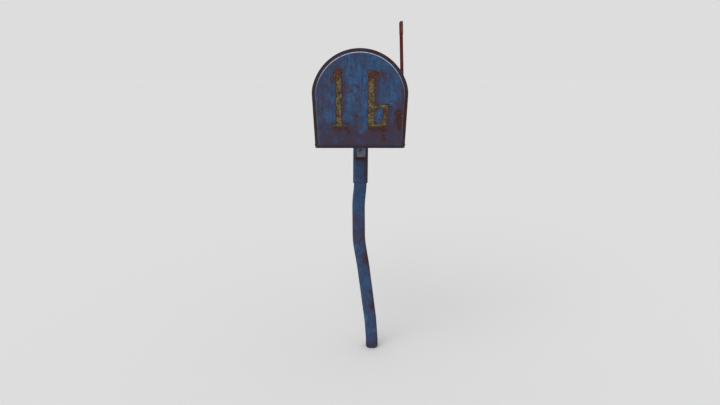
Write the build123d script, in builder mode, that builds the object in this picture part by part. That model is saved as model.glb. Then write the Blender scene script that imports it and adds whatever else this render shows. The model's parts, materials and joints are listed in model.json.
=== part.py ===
from build123d import *
import os
from math import atan2, cos, degrees, hypot, radians, sin, tan

# A rural post box on a bent square post. Millimetres, +Z up. The origin is the centre of the
# post's foot. The door faces -Y and the flag stands on the +X wall. Heights on the box are
# measured up from its bottom edge, and the box is symmetric about the upright plane x = BOX_X.

# Box outline, taken at the outside of the door's rim: leaning sides, two shoulder arcs and a crown.
BOX_LENGTH = 597.0
BOX_HEIGHT = 382.0
BOX_HALF_WIDTH = 188.2
ARCH_RISE = 171.4
SHOULDER_RADIUS = 125.0
SIDE_LEAN = 2.58
BOX_BOTTOM = 1067.0
BOX_X = -60.0

# Door: a pressed pan with a raised centre panel and a skirt that wraps the body's front bead.
DOOR_SHEET = 1.3
RIM_WIDTH = 14.0
RIM_BELOW = 8.0
PANEL_RAISE = 5.5
PANEL_BEVEL = 5.5
SKIRT_DEPTH = 17.0
EAR_ROUND = 6.0

# Door hinge: one rivet through each ear of the skirt.
PIVOT_RISE = 12.0
PIVOT_BACK = 8.5
PIVOT_RADIUS = 3.0
PIVOT_FIT = 0.08
PIVOT_HEAD_RADIUS = 5.5
PIVOT_HEAD_HEIGHT = 1.6
SPACER_RADIUS = 6.5
SWING_CLEARANCE = 0.5
SIDE_PLAY = 0.2

# Body sheet metal.
BODY_SHEET = 1.2
BEAD_RADIUS = 2.9
BEAD_SINK = 0.5
BEAD_CLEARANCE = 1.0
BODY_FRONT_GAP = 1.5
FLOOR_SHEET = 1.0
FLOOR_RISE = 25.0
FLOOR_FLANGE = 15.0
FLOOR_SETBACK = 5.7
RIB_COUNT = 3
RIB_PITCH = 84.0
RIB_WIDTH = 26.0
RIB_HEIGHT = 4.0
DRAIN_RADIUS = 3.0
DRAIN_FROM_END = 22.0
BACK_SHEET = 1.2
BACK_RECESS = 4.0
BACK_FLANGE = 15.0
BACK_EMBOSS = 3.0
BACK_BORDER = 22.0
BACK_GROUND_GAP = 2.0
SHEET_FIT = 0.15

# Post, its foot, and the socket sleeve at its top.
POST_SIZE = 60.0
POST_CHAMFER = 12.0
POST_WALL = 3.0
FOOT_HEIGHT = 12.0
FOOT_ROUND = 11.5
FOOT_SPIGOT = 25.0
SLEEVE_WALL = 3.5
SLEEVE_CHAMFER = 13.4
SLEEVE_LENGTH = 207.0
SLEEVE_FIT = 0.5
SLEEVE_SHIFT = 3.6
SLEEVE_LEAN = 2.0
FIRST_BEND_DROP = 17.0
FIRST_BEND_RADIUS = 230.0
BEND_RADIUS = 420.0
# Bends below the sleeve: share of the free height, share of the box's sideways offset.
POST_BENDS = ((0.888, 1.117), (0.667, 1.092), (0.499, 0.708), (0.174, 0.125), (0.058, 0.0))

# Saddle between post and board, with its through bolt.
SADDLE_SHEET = 4.0
SADDLE_WIDTH = 90.0
SADDLE_LENGTH = 200.0
LEG_WIDTH = 40.0
LEG_REACH = 80.0
LEG_SHIFT = 4.9
LEG_FIT = 0.3
LEG_ROUND = 4.0
BOLT_RADIUS = 4.0
BOLT_HOLE_FIT = 0.3
BOLT_DROP = 52.0
HEX_FLATS = 13.0
HEX_HEAD_HEIGHT = 5.3
NUT_HEIGHT = 6.5
WASHER_RADIUS = 8.0
WASHER_THICK = 1.6
BOLT_SPARE = 4.0

# Wooden board under the floor.
BOARD_THICK = 18.0
BOARD_FIT = 0.4
BOARD_FRONT_GAP = 18.0
BOARD_REAR_GAP = 44.7

# Small fasteners.
RIVET_RADIUS = 2.0
RIVET_HEAD_RADIUS = 3.8
RIVET_HEAD_HEIGHT = 1.3
RIVET_TAIL_RADIUS = 3.0
RIVET_TAIL_HEIGHT = 1.2
SCREW_RADIUS = 2.1
SCREW_HEAD_RADIUS = 4.2
SCREW_HEAD_HEIGHT = 2.4
SCREW_LENGTH = 28.0
SADDLE_SCREW_LENGTH = 18.0
FASTENER_FIT = 0.05
CURVE_GAP = 0.4
CROWN_GAP = 0.08
SIDE_RIVET_COUNT = 4
SIDE_RIVET_END = 40.0
SIDE_RIVET_RISE = 8.25
BOARD_SCREW_COUNT = 3
BOARD_SCREW_END = 50.0
BACK_RIVET_HEIGHTS = (70.0, 150.0)
BACK_RIVET_ANGLES = (35.0, 90.0, 145.0)
SADDLE_SCREW_X = 32.0
SADDLE_SCREW_Y = 80.0

# Friction catch at the crown.
CATCH_WIDTH = 20.0
CATCH_SHEET = 0.8
CATCH_LENGTH = 60.0
CATCH_TAIL = 24.0
CATCH_RIVETS_FROM_END = (6.0, 18.0)
CATCH_GAP = 0.7
STRIKER_SHEET = 1.5
STRIKER_WIDTH = 24.0
STRIKER_DROP = 15.0
STRIKER_REACH = 30.0
STRIKER_LEG = 32.0

# Signal flag on the +X wall.
FLAG_Y = 0.0
FLAG_LEAN = 2.4
FLAG_REACH = 289.7
ARM_WIDTH = 28.0
ARM_DEPTH = 12.8
ARM_SHEET = 1.6
ARM_WALL_GAP = 2.0
ARM_TOP_GAP = 6.0
BLADE_HEIGHT = 54.0
BLADE_LENGTH = 82.0
BLADE_DEPTH = 10.5
BLADE_SHEET = 1.2
BLADE_LEAD = 2.0
BLADE_NOTCH_FIT = 0.3
BRACKET_SHEET = 1.5
BRACKET_MARGIN = 12.0
BRACKET_TRAVEL = 14.0
STOP_SHEET = 1.6
STOP_LENGTH = 14.0
STOP_HEIGHT = 6.0
STOP_GAP = 0.3
BOSS_RADIUS = 6.5
FLAG_BOLT_RADIUS = 3.0
FLAG_BOLT_FIT = 0.08
FLAG_HEX_FLATS = 10.0
FLAG_HEAD_HEIGHT = 4.0
FLAG_NUT_HEIGHT = 5.0
FLAG_WASHER_RADIUS = 7.5
FLAG_WASHER_THICK = 1.2
FLAG_PLAY = 0.2
FLAG_RIVET_RISES = (12.0, 36.0)

# Worked out from the values above.
BODY_INSET = DOOR_SHEET + BEAD_CLEARANCE + 2 * BEAD_RADIUS - BEAD_SINK
LINER_INSET = BODY_INSET + BODY_SHEET
SHOULDER_X = BOX_HALF_WIDTH - SHOULDER_RADIUS
SHOULDER_HEIGHT = BOX_HEIGHT - ARCH_RISE
CROWN_RADIUS = (SHOULDER_RADIUS**2 - SHOULDER_X**2 - ARCH_RISE**2) / (2 * (SHOULDER_RADIUS - ARCH_RISE))
CROWN_HEIGHT = BOX_HEIGHT - CROWN_RADIUS
JOIN_ANGLE = degrees(atan2(SHOULDER_HEIGHT - CROWN_HEIGHT, SHOULDER_X))
FACE_Y = -BOX_LENGTH / 2
REAR_Y = BOX_LENGTH / 2
RIM_Y = FACE_Y + PANEL_RAISE
LINING_Y = RIM_Y + DOOR_SHEET
SKIRT_END_Y = RIM_Y + SKIRT_DEPTH
PIVOT_Y = LINING_Y + PIVOT_BACK
BODY_FRONT_Y = LINING_Y + BODY_FRONT_GAP
FLOOR_FRONT_Y = LINING_Y + FLOOR_SETBACK
BACK_Y = REAR_Y - BACK_RECESS
BOARD_TOP = FLOOR_RISE - FLOOR_SHEET
BOARD_BOTTOM = BOARD_TOP - BOARD_THICK
BOARD_FRONT_Y = PIVOT_Y + BOARD_FRONT_GAP
BOARD_REAR_Y = BACK_Y - BOARD_REAR_GAP
POST_TOP = BOX_BOTTOM + BOARD_BOTTOM - SADDLE_SHEET
POST_BORE = POST_SIZE - 2 * POST_WALL
BORE_CHAMFER = POST_CHAMFER - POST_WALL * (2 - 2**0.5)
SLEEVE_SIZE = POST_SIZE + 2 * (SLEEVE_FIT + SLEEVE_WALL)
LEG_FACE_Y = SLEEVE_SIZE / 2 + LEG_FIT + SADDLE_SHEET
BOLT_Z = BOX_BOTTOM - BOLT_DROP
THROUGH = 4 * BOX_HALF_WIDTH
ALONG_MAX = (Align.CENTER, Align.CENTER, Align.MAX)
ALONG_MIN = (Align.CENTER, Align.CENTER, Align.MIN)

os.makedirs("parts", exist_ok=True)


def save(piece, name):
    """Label a finished piece and write it as one STEP file."""
    piece.part.label = name
    export_step(piece.part, f"parts/{name}.step")


def section(y):
    """Upright plane across the box, facing the door, with its origin at the box's bottom centre."""
    return Plane(origin=(BOX_X, y, BOX_BOTTOM), x_dir=(1, 0, 0), z_dir=(0, -1, 0))


def side_x(height, inset):
    """Half-width of the leaning side at a height, set in square to the side from the rim."""
    lean = radians(SIDE_LEAN)
    reach = SHOULDER_RADIUS - inset + (height - SHOULDER_HEIGHT) * sin(lean)
    return SHOULDER_X + reach / cos(lean)


def on_arc(centre_x, centre_height, radius, angle):
    """Point on an arc of the outline."""
    return (centre_x + radius * cos(radians(angle)), centre_height + radius * sin(radians(angle)))


def arch_line(inset, bottom, plane):
    """Open outline from the left foot over the crown to the right foot, as lines and tangent arcs."""
    shoulder = SHOULDER_RADIUS - inset
    foot = (side_x(bottom, inset), bottom)
    spring = on_arc(SHOULDER_X, SHOULDER_HEIGHT, shoulder, -SIDE_LEAN)
    middle = on_arc(SHOULDER_X, SHOULDER_HEIGHT, shoulder, (JOIN_ANGLE - SIDE_LEAN) / 2)
    join = on_arc(SHOULDER_X, SHOULDER_HEIGHT, shoulder, JOIN_ANGLE)
    with BuildLine(plane) as outline:
        Line((-foot[0], foot[1]), (-spring[0], spring[1]))
        ThreePointArc((-spring[0], spring[1]), (-middle[0], middle[1]), (-join[0], join[1]))
        ThreePointArc((-join[0], join[1]), (0, BOX_HEIGHT - inset), join)
        ThreePointArc(join, middle, spring)
        Line(spring, foot)
    return outline.line


def arch(inset, bottom):
    """Closed outline, flat at its bottom."""
    foot = (side_x(bottom, inset), bottom)
    with BuildSketch() as outline:
        with BuildLine():
            add(arch_line(inset, bottom, Plane.XY))
            Line(foot, (-foot[0], foot[1]))
        make_face()
    return outline.sketch


def wall_plane(side, y, height):
    """Plane on the outside of a leaning body wall, facing out; side is +1 or -1."""
    lean = radians(SIDE_LEAN)
    x = BOX_X + side * side_x(height, BODY_INSET)
    out = (side * cos(lean), 0, -sin(lean))
    return Plane(origin=(x, y, BOX_BOTTOM + height), x_dir=(0, 1, 0), z_dir=out)


def crown_plane(y, angle):
    """Plane on the outside of the body's crown, facing out, at an angle up from +X."""
    x, height = on_arc(0, CROWN_HEIGHT, CROWN_RADIUS - BODY_INSET, angle)
    out = (cos(radians(angle)), 0, sin(radians(angle)))
    return Plane(origin=(BOX_X + x, y, BOX_BOTTOM + height), x_dir=(0, 1, 0), z_dir=out)


def side_row(first_y, last_y, count, height):
    """Evenly spaced planes along both walls at one height."""
    step = (last_y - first_y) / (count - 1)
    return [wall_plane(side, first_y + i * step, height) for side in (-1, 1) for i in range(count)]


def rivet_set(planes, grip, gap=0.0):
    """Rivets with a cone head outside each plane, a shank through the grip and a tail inside."""
    with BuildPart() as rivets:
        with Locations(*[plane.offset(gap) for plane in planes]):
            Cone(RIVET_HEAD_RADIUS, RIVET_RADIUS, RIVET_HEAD_HEIGHT, align=ALONG_MIN)
            Cylinder(RIVET_RADIUS, grip + 2 * gap, align=ALONG_MAX)
        with Locations(*[plane.offset(-grip - gap) for plane in planes]):
            Cylinder(RIVET_TAIL_RADIUS, RIVET_TAIL_HEIGHT, align=ALONG_MAX)
    return rivets


def screw_set(planes, length):
    """Wood screws with a cone head outside each plane and a plain shank inside."""
    with BuildPart() as screws:
        with Locations(*planes):
            Cone(SCREW_HEAD_RADIUS, SCREW_RADIUS, SCREW_HEAD_HEIGHT, align=ALONG_MIN)
            Cylinder(SCREW_RADIUS, length, align=ALONG_MAX)
    return screws


def chamfered_square(size, corner):
    """Square with its corners cut off."""
    with BuildSketch() as square:
        Rectangle(size, size)
        chamfer(square.vertices(), corner)
    return square.sketch


def strip(points, thickness, width, plane):
    """Bent strip: a line of points on a side plane, given a thickness downwards and a width."""
    lower = [(along, up - thickness) for along, up in reversed(points)]
    with BuildPart() as bent:
        with BuildSketch(plane):
            with BuildLine():
                Polyline(*points, *lower, close=True)
            make_face()
        extrude(amount=width / 2, both=True)
    return bent


# Where the fasteners stand.
floor_rivet_planes = side_row(
    FLOOR_FRONT_Y + SIDE_RIVET_END, BACK_Y - SIDE_RIVET_END, SIDE_RIVET_COUNT, FLOOR_RISE + SIDE_RIVET_RISE
)
board_screw_planes = side_row(
    BOARD_FRONT_Y + BOARD_SCREW_END,
    BOARD_REAR_Y - BOARD_SCREW_END,
    BOARD_SCREW_COUNT,
    BOARD_BOTTOM + BOARD_THICK / 2,
)
back_rivet_y = BACK_Y - BACK_SHEET - BACK_FLANGE / 2
back_side_planes = [wall_plane(side, back_rivet_y, h) for side in (-1, 1) for h in BACK_RIVET_HEIGHTS]
back_crown_planes = [crown_plane(back_rivet_y, angle) for angle in BACK_RIVET_ANGLES]
catch_rivet_y = [BODY_FRONT_Y + CATCH_LENGTH - back for back in CATCH_RIVETS_FROM_END]
catch_rivet_planes = [crown_plane(y, 90) for y in catch_rivet_y]

# The flag's own plane: origin on the wall where its normal has the flag's lean, x back, y up the arm.
flag_x, flag_height = on_arc(SHOULDER_X, SHOULDER_HEIGHT, SHOULDER_RADIUS - BODY_INSET, FLAG_LEAN)
flag_plane = Plane(
    origin=(BOX_X + flag_x, FLAG_Y, BOX_BOTTOM + flag_height),
    x_dir=(0, 1, 0),
    z_dir=(cos(radians(FLAG_LEAN)), 0, sin(radians(FLAG_LEAN))),
)
stop_reach = ARM_WIDTH / 2 + STOP_GAP
bracket_low = -stop_reach - BRACKET_MARGIN
bracket_rivet = -stop_reach - BRACKET_MARGIN / 2
bracket_rivet_spots = ((bracket_rivet, 0), (bracket_rivet, bracket_rivet), (0, bracket_rivet))
bracket_rivet_planes = [
    Plane(flag_plane.offset(BRACKET_SHEET).from_local_coords((x, y, 0)), flag_plane.x_dir, flag_plane.z_dir)
    for x, y in bracket_rivet_spots
]

# The post's centre line.
sleeve_bottom = POST_TOP - SLEEVE_LENGTH
post_top_x = BOX_X + SLEEVE_SHIFT
first_bend_x = post_top_x - SLEEVE_LEAN * (SLEEVE_LENGTH + FIRST_BEND_DROP) / SLEEVE_LENGTH
first_bend_z = sleeve_bottom - FIRST_BEND_DROP
sleeve_dir = (-SLEEVE_LEAN, 0, -SLEEVE_LENGTH)
bolt_x = post_top_x - SLEEVE_LEAN * (POST_TOP - BOLT_Z) / SLEEVE_LENGTH
overrun = 20.0
post_points = [(0, 0, FOOT_HEIGHT)]
post_points += [(across * BOX_X, 0, up * sleeve_bottom) for up, across in reversed(POST_BENDS)]
post_points += [(first_bend_x, 0, first_bend_z)]
post_points += [(post_top_x + SLEEVE_LEAN * overrun / SLEEVE_LENGTH, 0, POST_TOP + overrun)]
post_radii = [BEND_RADIUS] * len(POST_BENDS) + [FIRST_BEND_RADIUS]


# --- Post ---
with BuildPart() as post_tube:
    with BuildLine():
        FilletPolyline(*post_points, radius=post_radii)
    with BuildSketch(Plane.XY.offset(FOOT_HEIGHT)):
        add(chamfered_square(POST_SIZE, POST_CHAMFER))
        add(chamfered_square(POST_BORE, BORE_CHAMFER), mode=Mode.SUBTRACT)
    sweep()
    split(bisect_by=Plane.XY.offset(POST_TOP), keep=Keep.BOTTOM)
    with Locations(Plane(origin=(bolt_x, 0, BOLT_Z), z_dir=(0, -1, 0))):
        Cylinder(BOLT_RADIUS + BOLT_HOLE_FIT, THROUGH, mode=Mode.SUBTRACT)
save(post_tube, "post_tube")

with BuildPart() as foot_cap:
    with BuildSketch():
        add(chamfered_square(POST_SIZE, POST_CHAMFER))
    extrude(amount=FOOT_HEIGHT)
    fillet(foot_cap.faces().sort_by(Axis.Z)[0].edges(), FOOT_ROUND)
    with BuildSketch(Plane.XY.offset(FOOT_HEIGHT)):
        add(chamfered_square(POST_BORE - 2 * SLEEVE_FIT, BORE_CHAMFER))
    extrude(amount=FOOT_SPIGOT)
save(foot_cap, "foot_cap")

with BuildPart() as socket_sleeve:
    with BuildSketch(Plane.XY.move(Location((post_top_x, 0, POST_TOP)))):
        add(chamfered_square(SLEEVE_SIZE, SLEEVE_CHAMFER))
        add(chamfered_square(POST_SIZE + 2 * SLEEVE_FIT, POST_CHAMFER), mode=Mode.SUBTRACT)
    extrude(amount=hypot(SLEEVE_LEAN, SLEEVE_LENGTH), dir=sleeve_dir)
    with Locations(Plane(origin=(bolt_x, 0, BOLT_Z), z_dir=(0, -1, 0))):
        Cylinder(BOLT_RADIUS + BOLT_HOLE_FIT, THROUGH, mode=Mode.SUBTRACT)
save(socket_sleeve, "socket_sleeve")

# --- Saddle and through bolt ---
saddle_screw_planes = [
    Plane(origin=(BOX_X + LEG_SHIFT + x, y, POST_TOP), x_dir=(1, 0, 0), z_dir=(0, 0, -1))
    for x in (-SADDLE_SCREW_X, SADDLE_SCREW_X)
    for y in (-SADDLE_SCREW_Y, SADDLE_SCREW_Y)
]
with BuildPart() as saddle_bracket:
    with BuildSketch(Plane.XY.move(Location((BOX_X + LEG_SHIFT, 0, POST_TOP)))):
        RectangleRounded(SADDLE_WIDTH, SADDLE_LENGTH, LEG_ROUND)
    extrude(amount=SADDLE_SHEET)
    for face_y in (-LEG_FACE_Y, LEG_FACE_Y - SADDLE_SHEET):
        leg_top = (BOX_X + LEG_SHIFT, face_y, POST_TOP)
        with BuildSketch(Plane(origin=leg_top, x_dir=(1, 0, 0), z_dir=(0, 1, 0))):
            Rectangle(LEG_WIDTH, LEG_REACH + POST_TOP - BOX_BOTTOM, align=(Align.CENTER, Align.MIN))
        extrude(amount=SADDLE_SHEET)
    with Locations(Plane(origin=(bolt_x, 0, BOLT_Z), z_dir=(0, -1, 0))):
        Cylinder(BOLT_RADIUS + BOLT_HOLE_FIT, THROUGH, mode=Mode.SUBTRACT)
    with Locations(*saddle_screw_planes):
        Cylinder(SCREW_RADIUS + FASTENER_FIT, 2 * SADDLE_SCREW_LENGTH, mode=Mode.SUBTRACT)
save(saddle_bracket, "saddle_bracket")

bolt_front = Plane(origin=(bolt_x, -LEG_FACE_Y, BOLT_Z), x_dir=(1, 0, 0), z_dir=(0, -1, 0))
bolt_rear = Plane(origin=(bolt_x, LEG_FACE_Y, BOLT_Z), x_dir=(1, 0, 0), z_dir=(0, 1, 0))
with BuildPart() as through_bolt:
    with BuildSketch(bolt_front.offset(WASHER_THICK)):
        RegularPolygon(HEX_FLATS / 2, 6, major_radius=False)
    extrude(amount=HEX_HEAD_HEIGHT)
    with BuildSketch(bolt_front.offset(WASHER_THICK)):
        Circle(BOLT_RADIUS)
    extrude(amount=-(2 * LEG_FACE_Y + 2 * WASHER_THICK + NUT_HEIGHT + BOLT_SPARE))
save(through_bolt, "through_bolt")

with BuildPart() as through_nut:
    with BuildSketch(bolt_rear.offset(WASHER_THICK)):
        RegularPolygon(HEX_FLATS / 2, 6, major_radius=False)
        Circle(BOLT_RADIUS + FASTENER_FIT, mode=Mode.SUBTRACT)
    extrude(amount=NUT_HEIGHT)
save(through_nut, "through_nut")

with BuildPart() as bolt_washers:
    for seat in (bolt_front, bolt_rear):
        with BuildSketch(seat):
            Circle(WASHER_RADIUS)
            Circle(BOLT_RADIUS + FASTENER_FIT, mode=Mode.SUBTRACT)
        extrude(amount=WASHER_THICK)
save(bolt_washers, "bolt_washers")

# --- Board ---
board_half_width = side_x(BOARD_BOTTOM, LINER_INSET) - BOARD_FIT
with BuildPart() as mounting_board:
    with BuildSketch(section(BOARD_FRONT_Y)):
        with Locations((0, BOARD_BOTTOM)):
            Rectangle(2 * board_half_width, BOARD_THICK, align=(Align.CENTER, Align.MIN))
    extrude(amount=BOARD_FRONT_Y - BOARD_REAR_Y)
    with Locations(*board_screw_planes):
        Cylinder(SCREW_RADIUS + FASTENER_FIT, 2 * SCREW_LENGTH + 1, mode=Mode.SUBTRACT)
    with Locations(*saddle_screw_planes):
        Cylinder(SCREW_RADIUS + FASTENER_FIT, 2 * SADDLE_SCREW_LENGTH + 1, mode=Mode.SUBTRACT)
save(mounting_board, "mounting_board")

saddle_screws = screw_set(saddle_screw_planes, SADDLE_SCREW_LENGTH)
save(saddle_screws, "saddle_screws")
board_screws = screw_set(board_screw_planes, SCREW_LENGTH)
save(board_screws, "board_screws")

# --- Body ---
corner_radius = PIVOT_BACK - SWING_CLEARANCE
door_sweep = hypot(PIVOT_RISE, PIVOT_BACK + DOOR_SHEET + PANEL_RAISE) + SWING_CLEARANCE
hinge_lines = [
    Plane(origin=(BOX_X, PIVOT_Y, BOX_BOTTOM + PIVOT_RISE), x_dir=(0, 1, 0), z_dir=(side, 0, 0))
    for side in (-1, 1)
]
bead_start = PIVOT_RISE + SPACER_RADIUS + SWING_CLEARANCE
with BuildPart() as body_shell:
    with BuildSketch(section(BODY_FRONT_Y + BEAD_RADIUS)):
        add(arch(BODY_INSET, 0))
        add(arch(LINER_INSET, -BODY_SHEET), mode=Mode.SUBTRACT)
    extrude(amount=-(REAR_Y - BODY_FRONT_Y - BEAD_RADIUS))
    # Clear the door's lower edge as it swings under the floor.
    with BuildSketch(hinge_lines[1]):
        with Locations((door_sweep / 2, -corner_radius)):
            Rectangle(3 * door_sweep - corner_radius, PIVOT_RISE, align=(Align.MAX, Align.MAX))
        with Locations((0, 0)):
            Rectangle(corner_radius * 2, corner_radius * 2, align=(Align.MAX, Align.MAX))
        Circle(corner_radius, mode=Mode.SUBTRACT)
        with Locations((door_sweep, -corner_radius)):
            Rectangle(door_sweep / 2 + 1, PIVOT_RISE, align=(Align.MAX, Align.MAX))
    extrude(amount=THROUGH, both=True, mode=Mode.SUBTRACT)
    bead_plane = section(BODY_FRONT_Y + BEAD_RADIUS)
    bead_path = arch_line(BODY_INSET + BEAD_SINK - BEAD_RADIUS, bead_start, bead_plane)
    with BuildSketch(Plane(bead_path @ 0, z_dir=bead_path % 0)):
        Circle(BEAD_RADIUS)
    sweep(path=bead_path)
    with Locations(Plane(origin=(BOX_X, PIVOT_Y, BOX_BOTTOM + PIVOT_RISE), z_dir=(1, 0, 0))):
        Cylinder(PIVOT_RADIUS + FASTENER_FIT, THROUGH, mode=Mode.SUBTRACT)
    with Locations(*board_screw_planes):
        Cylinder(SCREW_RADIUS + FASTENER_FIT, 4 * BODY_SHEET, mode=Mode.SUBTRACT)
    with Locations(*floor_rivet_planes, *back_side_planes, *back_crown_planes, *catch_rivet_planes):
        Cylinder(RIVET_RADIUS + FASTENER_FIT, 4 * BODY_SHEET, mode=Mode.SUBTRACT)
    with Locations(*bracket_rivet_planes):
        Cylinder(RIVET_RADIUS + FASTENER_FIT, 8 * BODY_SHEET, mode=Mode.SUBTRACT)
    with Locations(flag_plane):
        Cylinder(FLAG_BOLT_RADIUS + FASTENER_FIT, 4 * BODY_SHEET, mode=Mode.SUBTRACT)
save(body_shell, "body_shell")

floor_inset = LINER_INSET + SHEET_FIT
tray_inset = floor_inset + FLOOR_SHEET
floor_low = FLOOR_RISE - FLOOR_SHEET
flange_top = FLOOR_RISE + FLOOR_FLANGE
rib_rows = [(i - (RIB_COUNT - 1) / 2) * RIB_PITCH for i in range(RIB_COUNT)]
with BuildPart() as floor_pan:
    with BuildSketch(section(FLOOR_FRONT_Y)):
        with BuildLine():
            Polyline(
                (side_x(floor_low, floor_inset), floor_low),
                (side_x(flange_top, floor_inset), flange_top),
                (side_x(flange_top, tray_inset), flange_top),
                (side_x(FLOOR_RISE, tray_inset), FLOOR_RISE),
                (-side_x(FLOOR_RISE, tray_inset), FLOOR_RISE),
                (-side_x(flange_top, tray_inset), flange_top),
                (-side_x(flange_top, floor_inset), flange_top),
                (-side_x(floor_low, floor_inset), floor_low),
                close=True,
            )
        make_face()
        with Locations(*[(x, FLOOR_RISE) for x in rib_rows]):
            Trapezoid(RIB_WIDTH, RIB_HEIGHT, 50, align=(Align.CENTER, Align.MIN))
        with Locations(*[(x, floor_low) for x in rib_rows]):
            Trapezoid(
                RIB_WIDTH - FLOOR_SHEET, RIB_HEIGHT, 50, align=(Align.CENTER, Align.MIN), mode=Mode.SUBTRACT
            )
    extrude(amount=-(BACK_Y - BACK_SHEET - SHEET_FIT - FLOOR_FRONT_Y))
    with Locations(*floor_rivet_planes):
        Cylinder(RIVET_RADIUS + FASTENER_FIT, 8 * BODY_SHEET, mode=Mode.SUBTRACT)
    drain_spots = [
        (BOX_X + side * RIB_PITCH / 2, y)
        for side in (-1, 1)
        for y in (BOARD_REAR_Y + DRAIN_RADIUS * 2, BACK_Y - DRAIN_FROM_END)
    ]
    with Locations(*[(x, y, BOX_BOTTOM + FLOOR_RISE) for x, y in drain_spots]):
        Cylinder(DRAIN_RADIUS, 4 * FLOOR_SHEET, mode=Mode.SUBTRACT)
save(floor_pan, "floor_pan")

floor_rivets = rivet_set(floor_rivet_planes, BODY_SHEET + SHEET_FIT + FLOOR_SHEET)
save(floor_rivets, "floor_rivets")

back_inset = LINER_INSET + SHEET_FIT
back_flange_bottom = flange_top + 1
with BuildPart() as back_panel:
    with BuildSketch(section(BACK_Y - BACK_SHEET)):
        add(arch(back_inset, BACK_GROUND_GAP))
    extrude(amount=-BACK_SHEET)
    with BuildSketch(section(BACK_Y - BACK_SHEET)):
        add(arch(back_inset, back_flange_bottom))
        add(arch(back_inset + BACK_SHEET, back_flange_bottom - 1), mode=Mode.SUBTRACT)
    extrude(amount=BACK_FLANGE)
    with BuildSketch(section(BACK_Y)):
        add(arch(back_inset + BACK_BORDER, flange_top + BACK_BORDER))
    with BuildSketch(section(BACK_Y + BACK_EMBOSS)):
        add(arch(back_inset + BACK_BORDER + BACK_EMBOSS, flange_top + BACK_BORDER + BACK_EMBOSS))
    loft(ruled=True)
    with BuildSketch(section(BACK_Y - BACK_SHEET)):
        add(arch(back_inset + BACK_BORDER + BACK_SHEET, flange_top + BACK_BORDER + BACK_SHEET))
    with BuildSketch(section(BACK_Y + BACK_EMBOSS - BACK_SHEET)):
        inner_border = BACK_BORDER + BACK_EMBOSS + BACK_SHEET
        add(arch(back_inset + inner_border, flange_top + inner_border))
    loft(ruled=True, mode=Mode.SUBTRACT)
    with Locations(*back_side_planes, *back_crown_planes):
        Cylinder(RIVET_RADIUS + FASTENER_FIT, 8 * BODY_SHEET, mode=Mode.SUBTRACT)
save(back_panel, "back_panel")

back_stack = BODY_SHEET + SHEET_FIT + BACK_SHEET
back_rivets = rivet_set(back_side_planes + back_crown_planes, back_stack, CROWN_GAP)
save(back_rivets, "back_rivets")

# --- Door ---
with BuildPart() as door_panel:
    with BuildSketch(section(RIM_Y)):
        add(arch(0, 0))
    extrude(amount=-SKIRT_DEPTH)
    with BuildSketch(section(RIM_Y)):
        add(arch(RIM_WIDTH, RIM_BELOW))
    with BuildSketch(section(FACE_Y)):
        add(arch(RIM_WIDTH + PANEL_BEVEL, RIM_BELOW + PANEL_BEVEL))
    loft(ruled=True)
    with BuildSketch(section(SKIRT_END_Y)):
        add(arch(DOOR_SHEET, -DOOR_SHEET))
    extrude(amount=SKIRT_DEPTH - DOOR_SHEET, mode=Mode.SUBTRACT)
    with BuildSketch(section(LINING_Y)):
        add(arch(RIM_WIDTH + DOOR_SHEET, RIM_BELOW + DOOR_SHEET))
    with BuildSketch(section(FACE_Y + DOOR_SHEET)):
        add(arch(RIM_WIDTH + PANEL_BEVEL + DOOR_SHEET, RIM_BELOW + PANEL_BEVEL + DOOR_SHEET))
    loft(ruled=True, mode=Mode.SUBTRACT)
    with Locations(Plane(origin=(BOX_X, PIVOT_Y, BOX_BOTTOM + PIVOT_RISE), z_dir=(1, 0, 0))):
        Cylinder(PIVOT_RADIUS + PIVOT_FIT, THROUGH, mode=Mode.SUBTRACT)
    ear_edges = door_panel.edges().filter_by(Axis.X).group_by(Axis.Y)[-1].group_by(Axis.Z)[0]
    fillet(ear_edges, EAR_ROUND)
save(door_panel, "door_panel")

# Rivets and spacers run along X through leaning sheets, so each stands off by its share of the lean.
lean_rise = tan(radians(SIDE_LEAN))
head_lean = PIVOT_HEAD_RADIUS * lean_rise
spacer_lean = SPACER_RADIUS * lean_rise
ear_outer = side_x(PIVOT_RISE, 0) + head_lean + SIDE_PLAY
ear_inner = side_x(PIVOT_RISE, DOOR_SHEET) - spacer_lean - SIDE_PLAY
wall_outer = side_x(PIVOT_RISE, BODY_INSET) + spacer_lean
wall_inner = side_x(PIVOT_RISE, LINER_INSET) - head_lean
with BuildPart() as hinge_rivets:
    for line in hinge_lines:
        with Locations(line.offset(ear_outer)):
            Cone(PIVOT_HEAD_RADIUS, PIVOT_RADIUS, PIVOT_HEAD_HEIGHT, align=ALONG_MIN)
            Cylinder(PIVOT_RADIUS, ear_outer - wall_inner, align=ALONG_MAX)
        with Locations(line.offset(wall_inner)):
            Cylinder(PIVOT_HEAD_RADIUS, PIVOT_HEAD_HEIGHT, align=ALONG_MAX)
save(hinge_rivets, "hinge_rivets")

with BuildPart() as hinge_spacers:
    for line in hinge_lines:
        with BuildSketch(line.offset(wall_outer)):
            Circle(SPACER_RADIUS)
            Circle(PIVOT_RADIUS + FASTENER_FIT, mode=Mode.SUBTRACT)
        extrude(amount=ear_inner - wall_outer)
save(hinge_spacers, "hinge_spacers")

# --- Catch ---
striker_top = BOX_HEIGHT - LINER_INSET - STRIKER_DROP
striker_y = FACE_Y + DOOR_SHEET
mid_plane = Plane(origin=(BOX_X, 0, BOX_BOTTOM), x_dir=(0, 1, 0), z_dir=(1, 0, 0))
with BuildPart() as door_striker:
    with BuildSketch(mid_plane):
        with Locations((striker_y, striker_top)):
            Rectangle(STRIKER_REACH + DOOR_SHEET, STRIKER_SHEET, align=(Align.MIN, Align.MAX))
            Rectangle(STRIKER_SHEET, STRIKER_LEG, align=(Align.MIN, Align.MAX))
    extrude(amount=STRIKER_WIDTH / 2, both=True)
save(door_striker, "door_striker")

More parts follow.
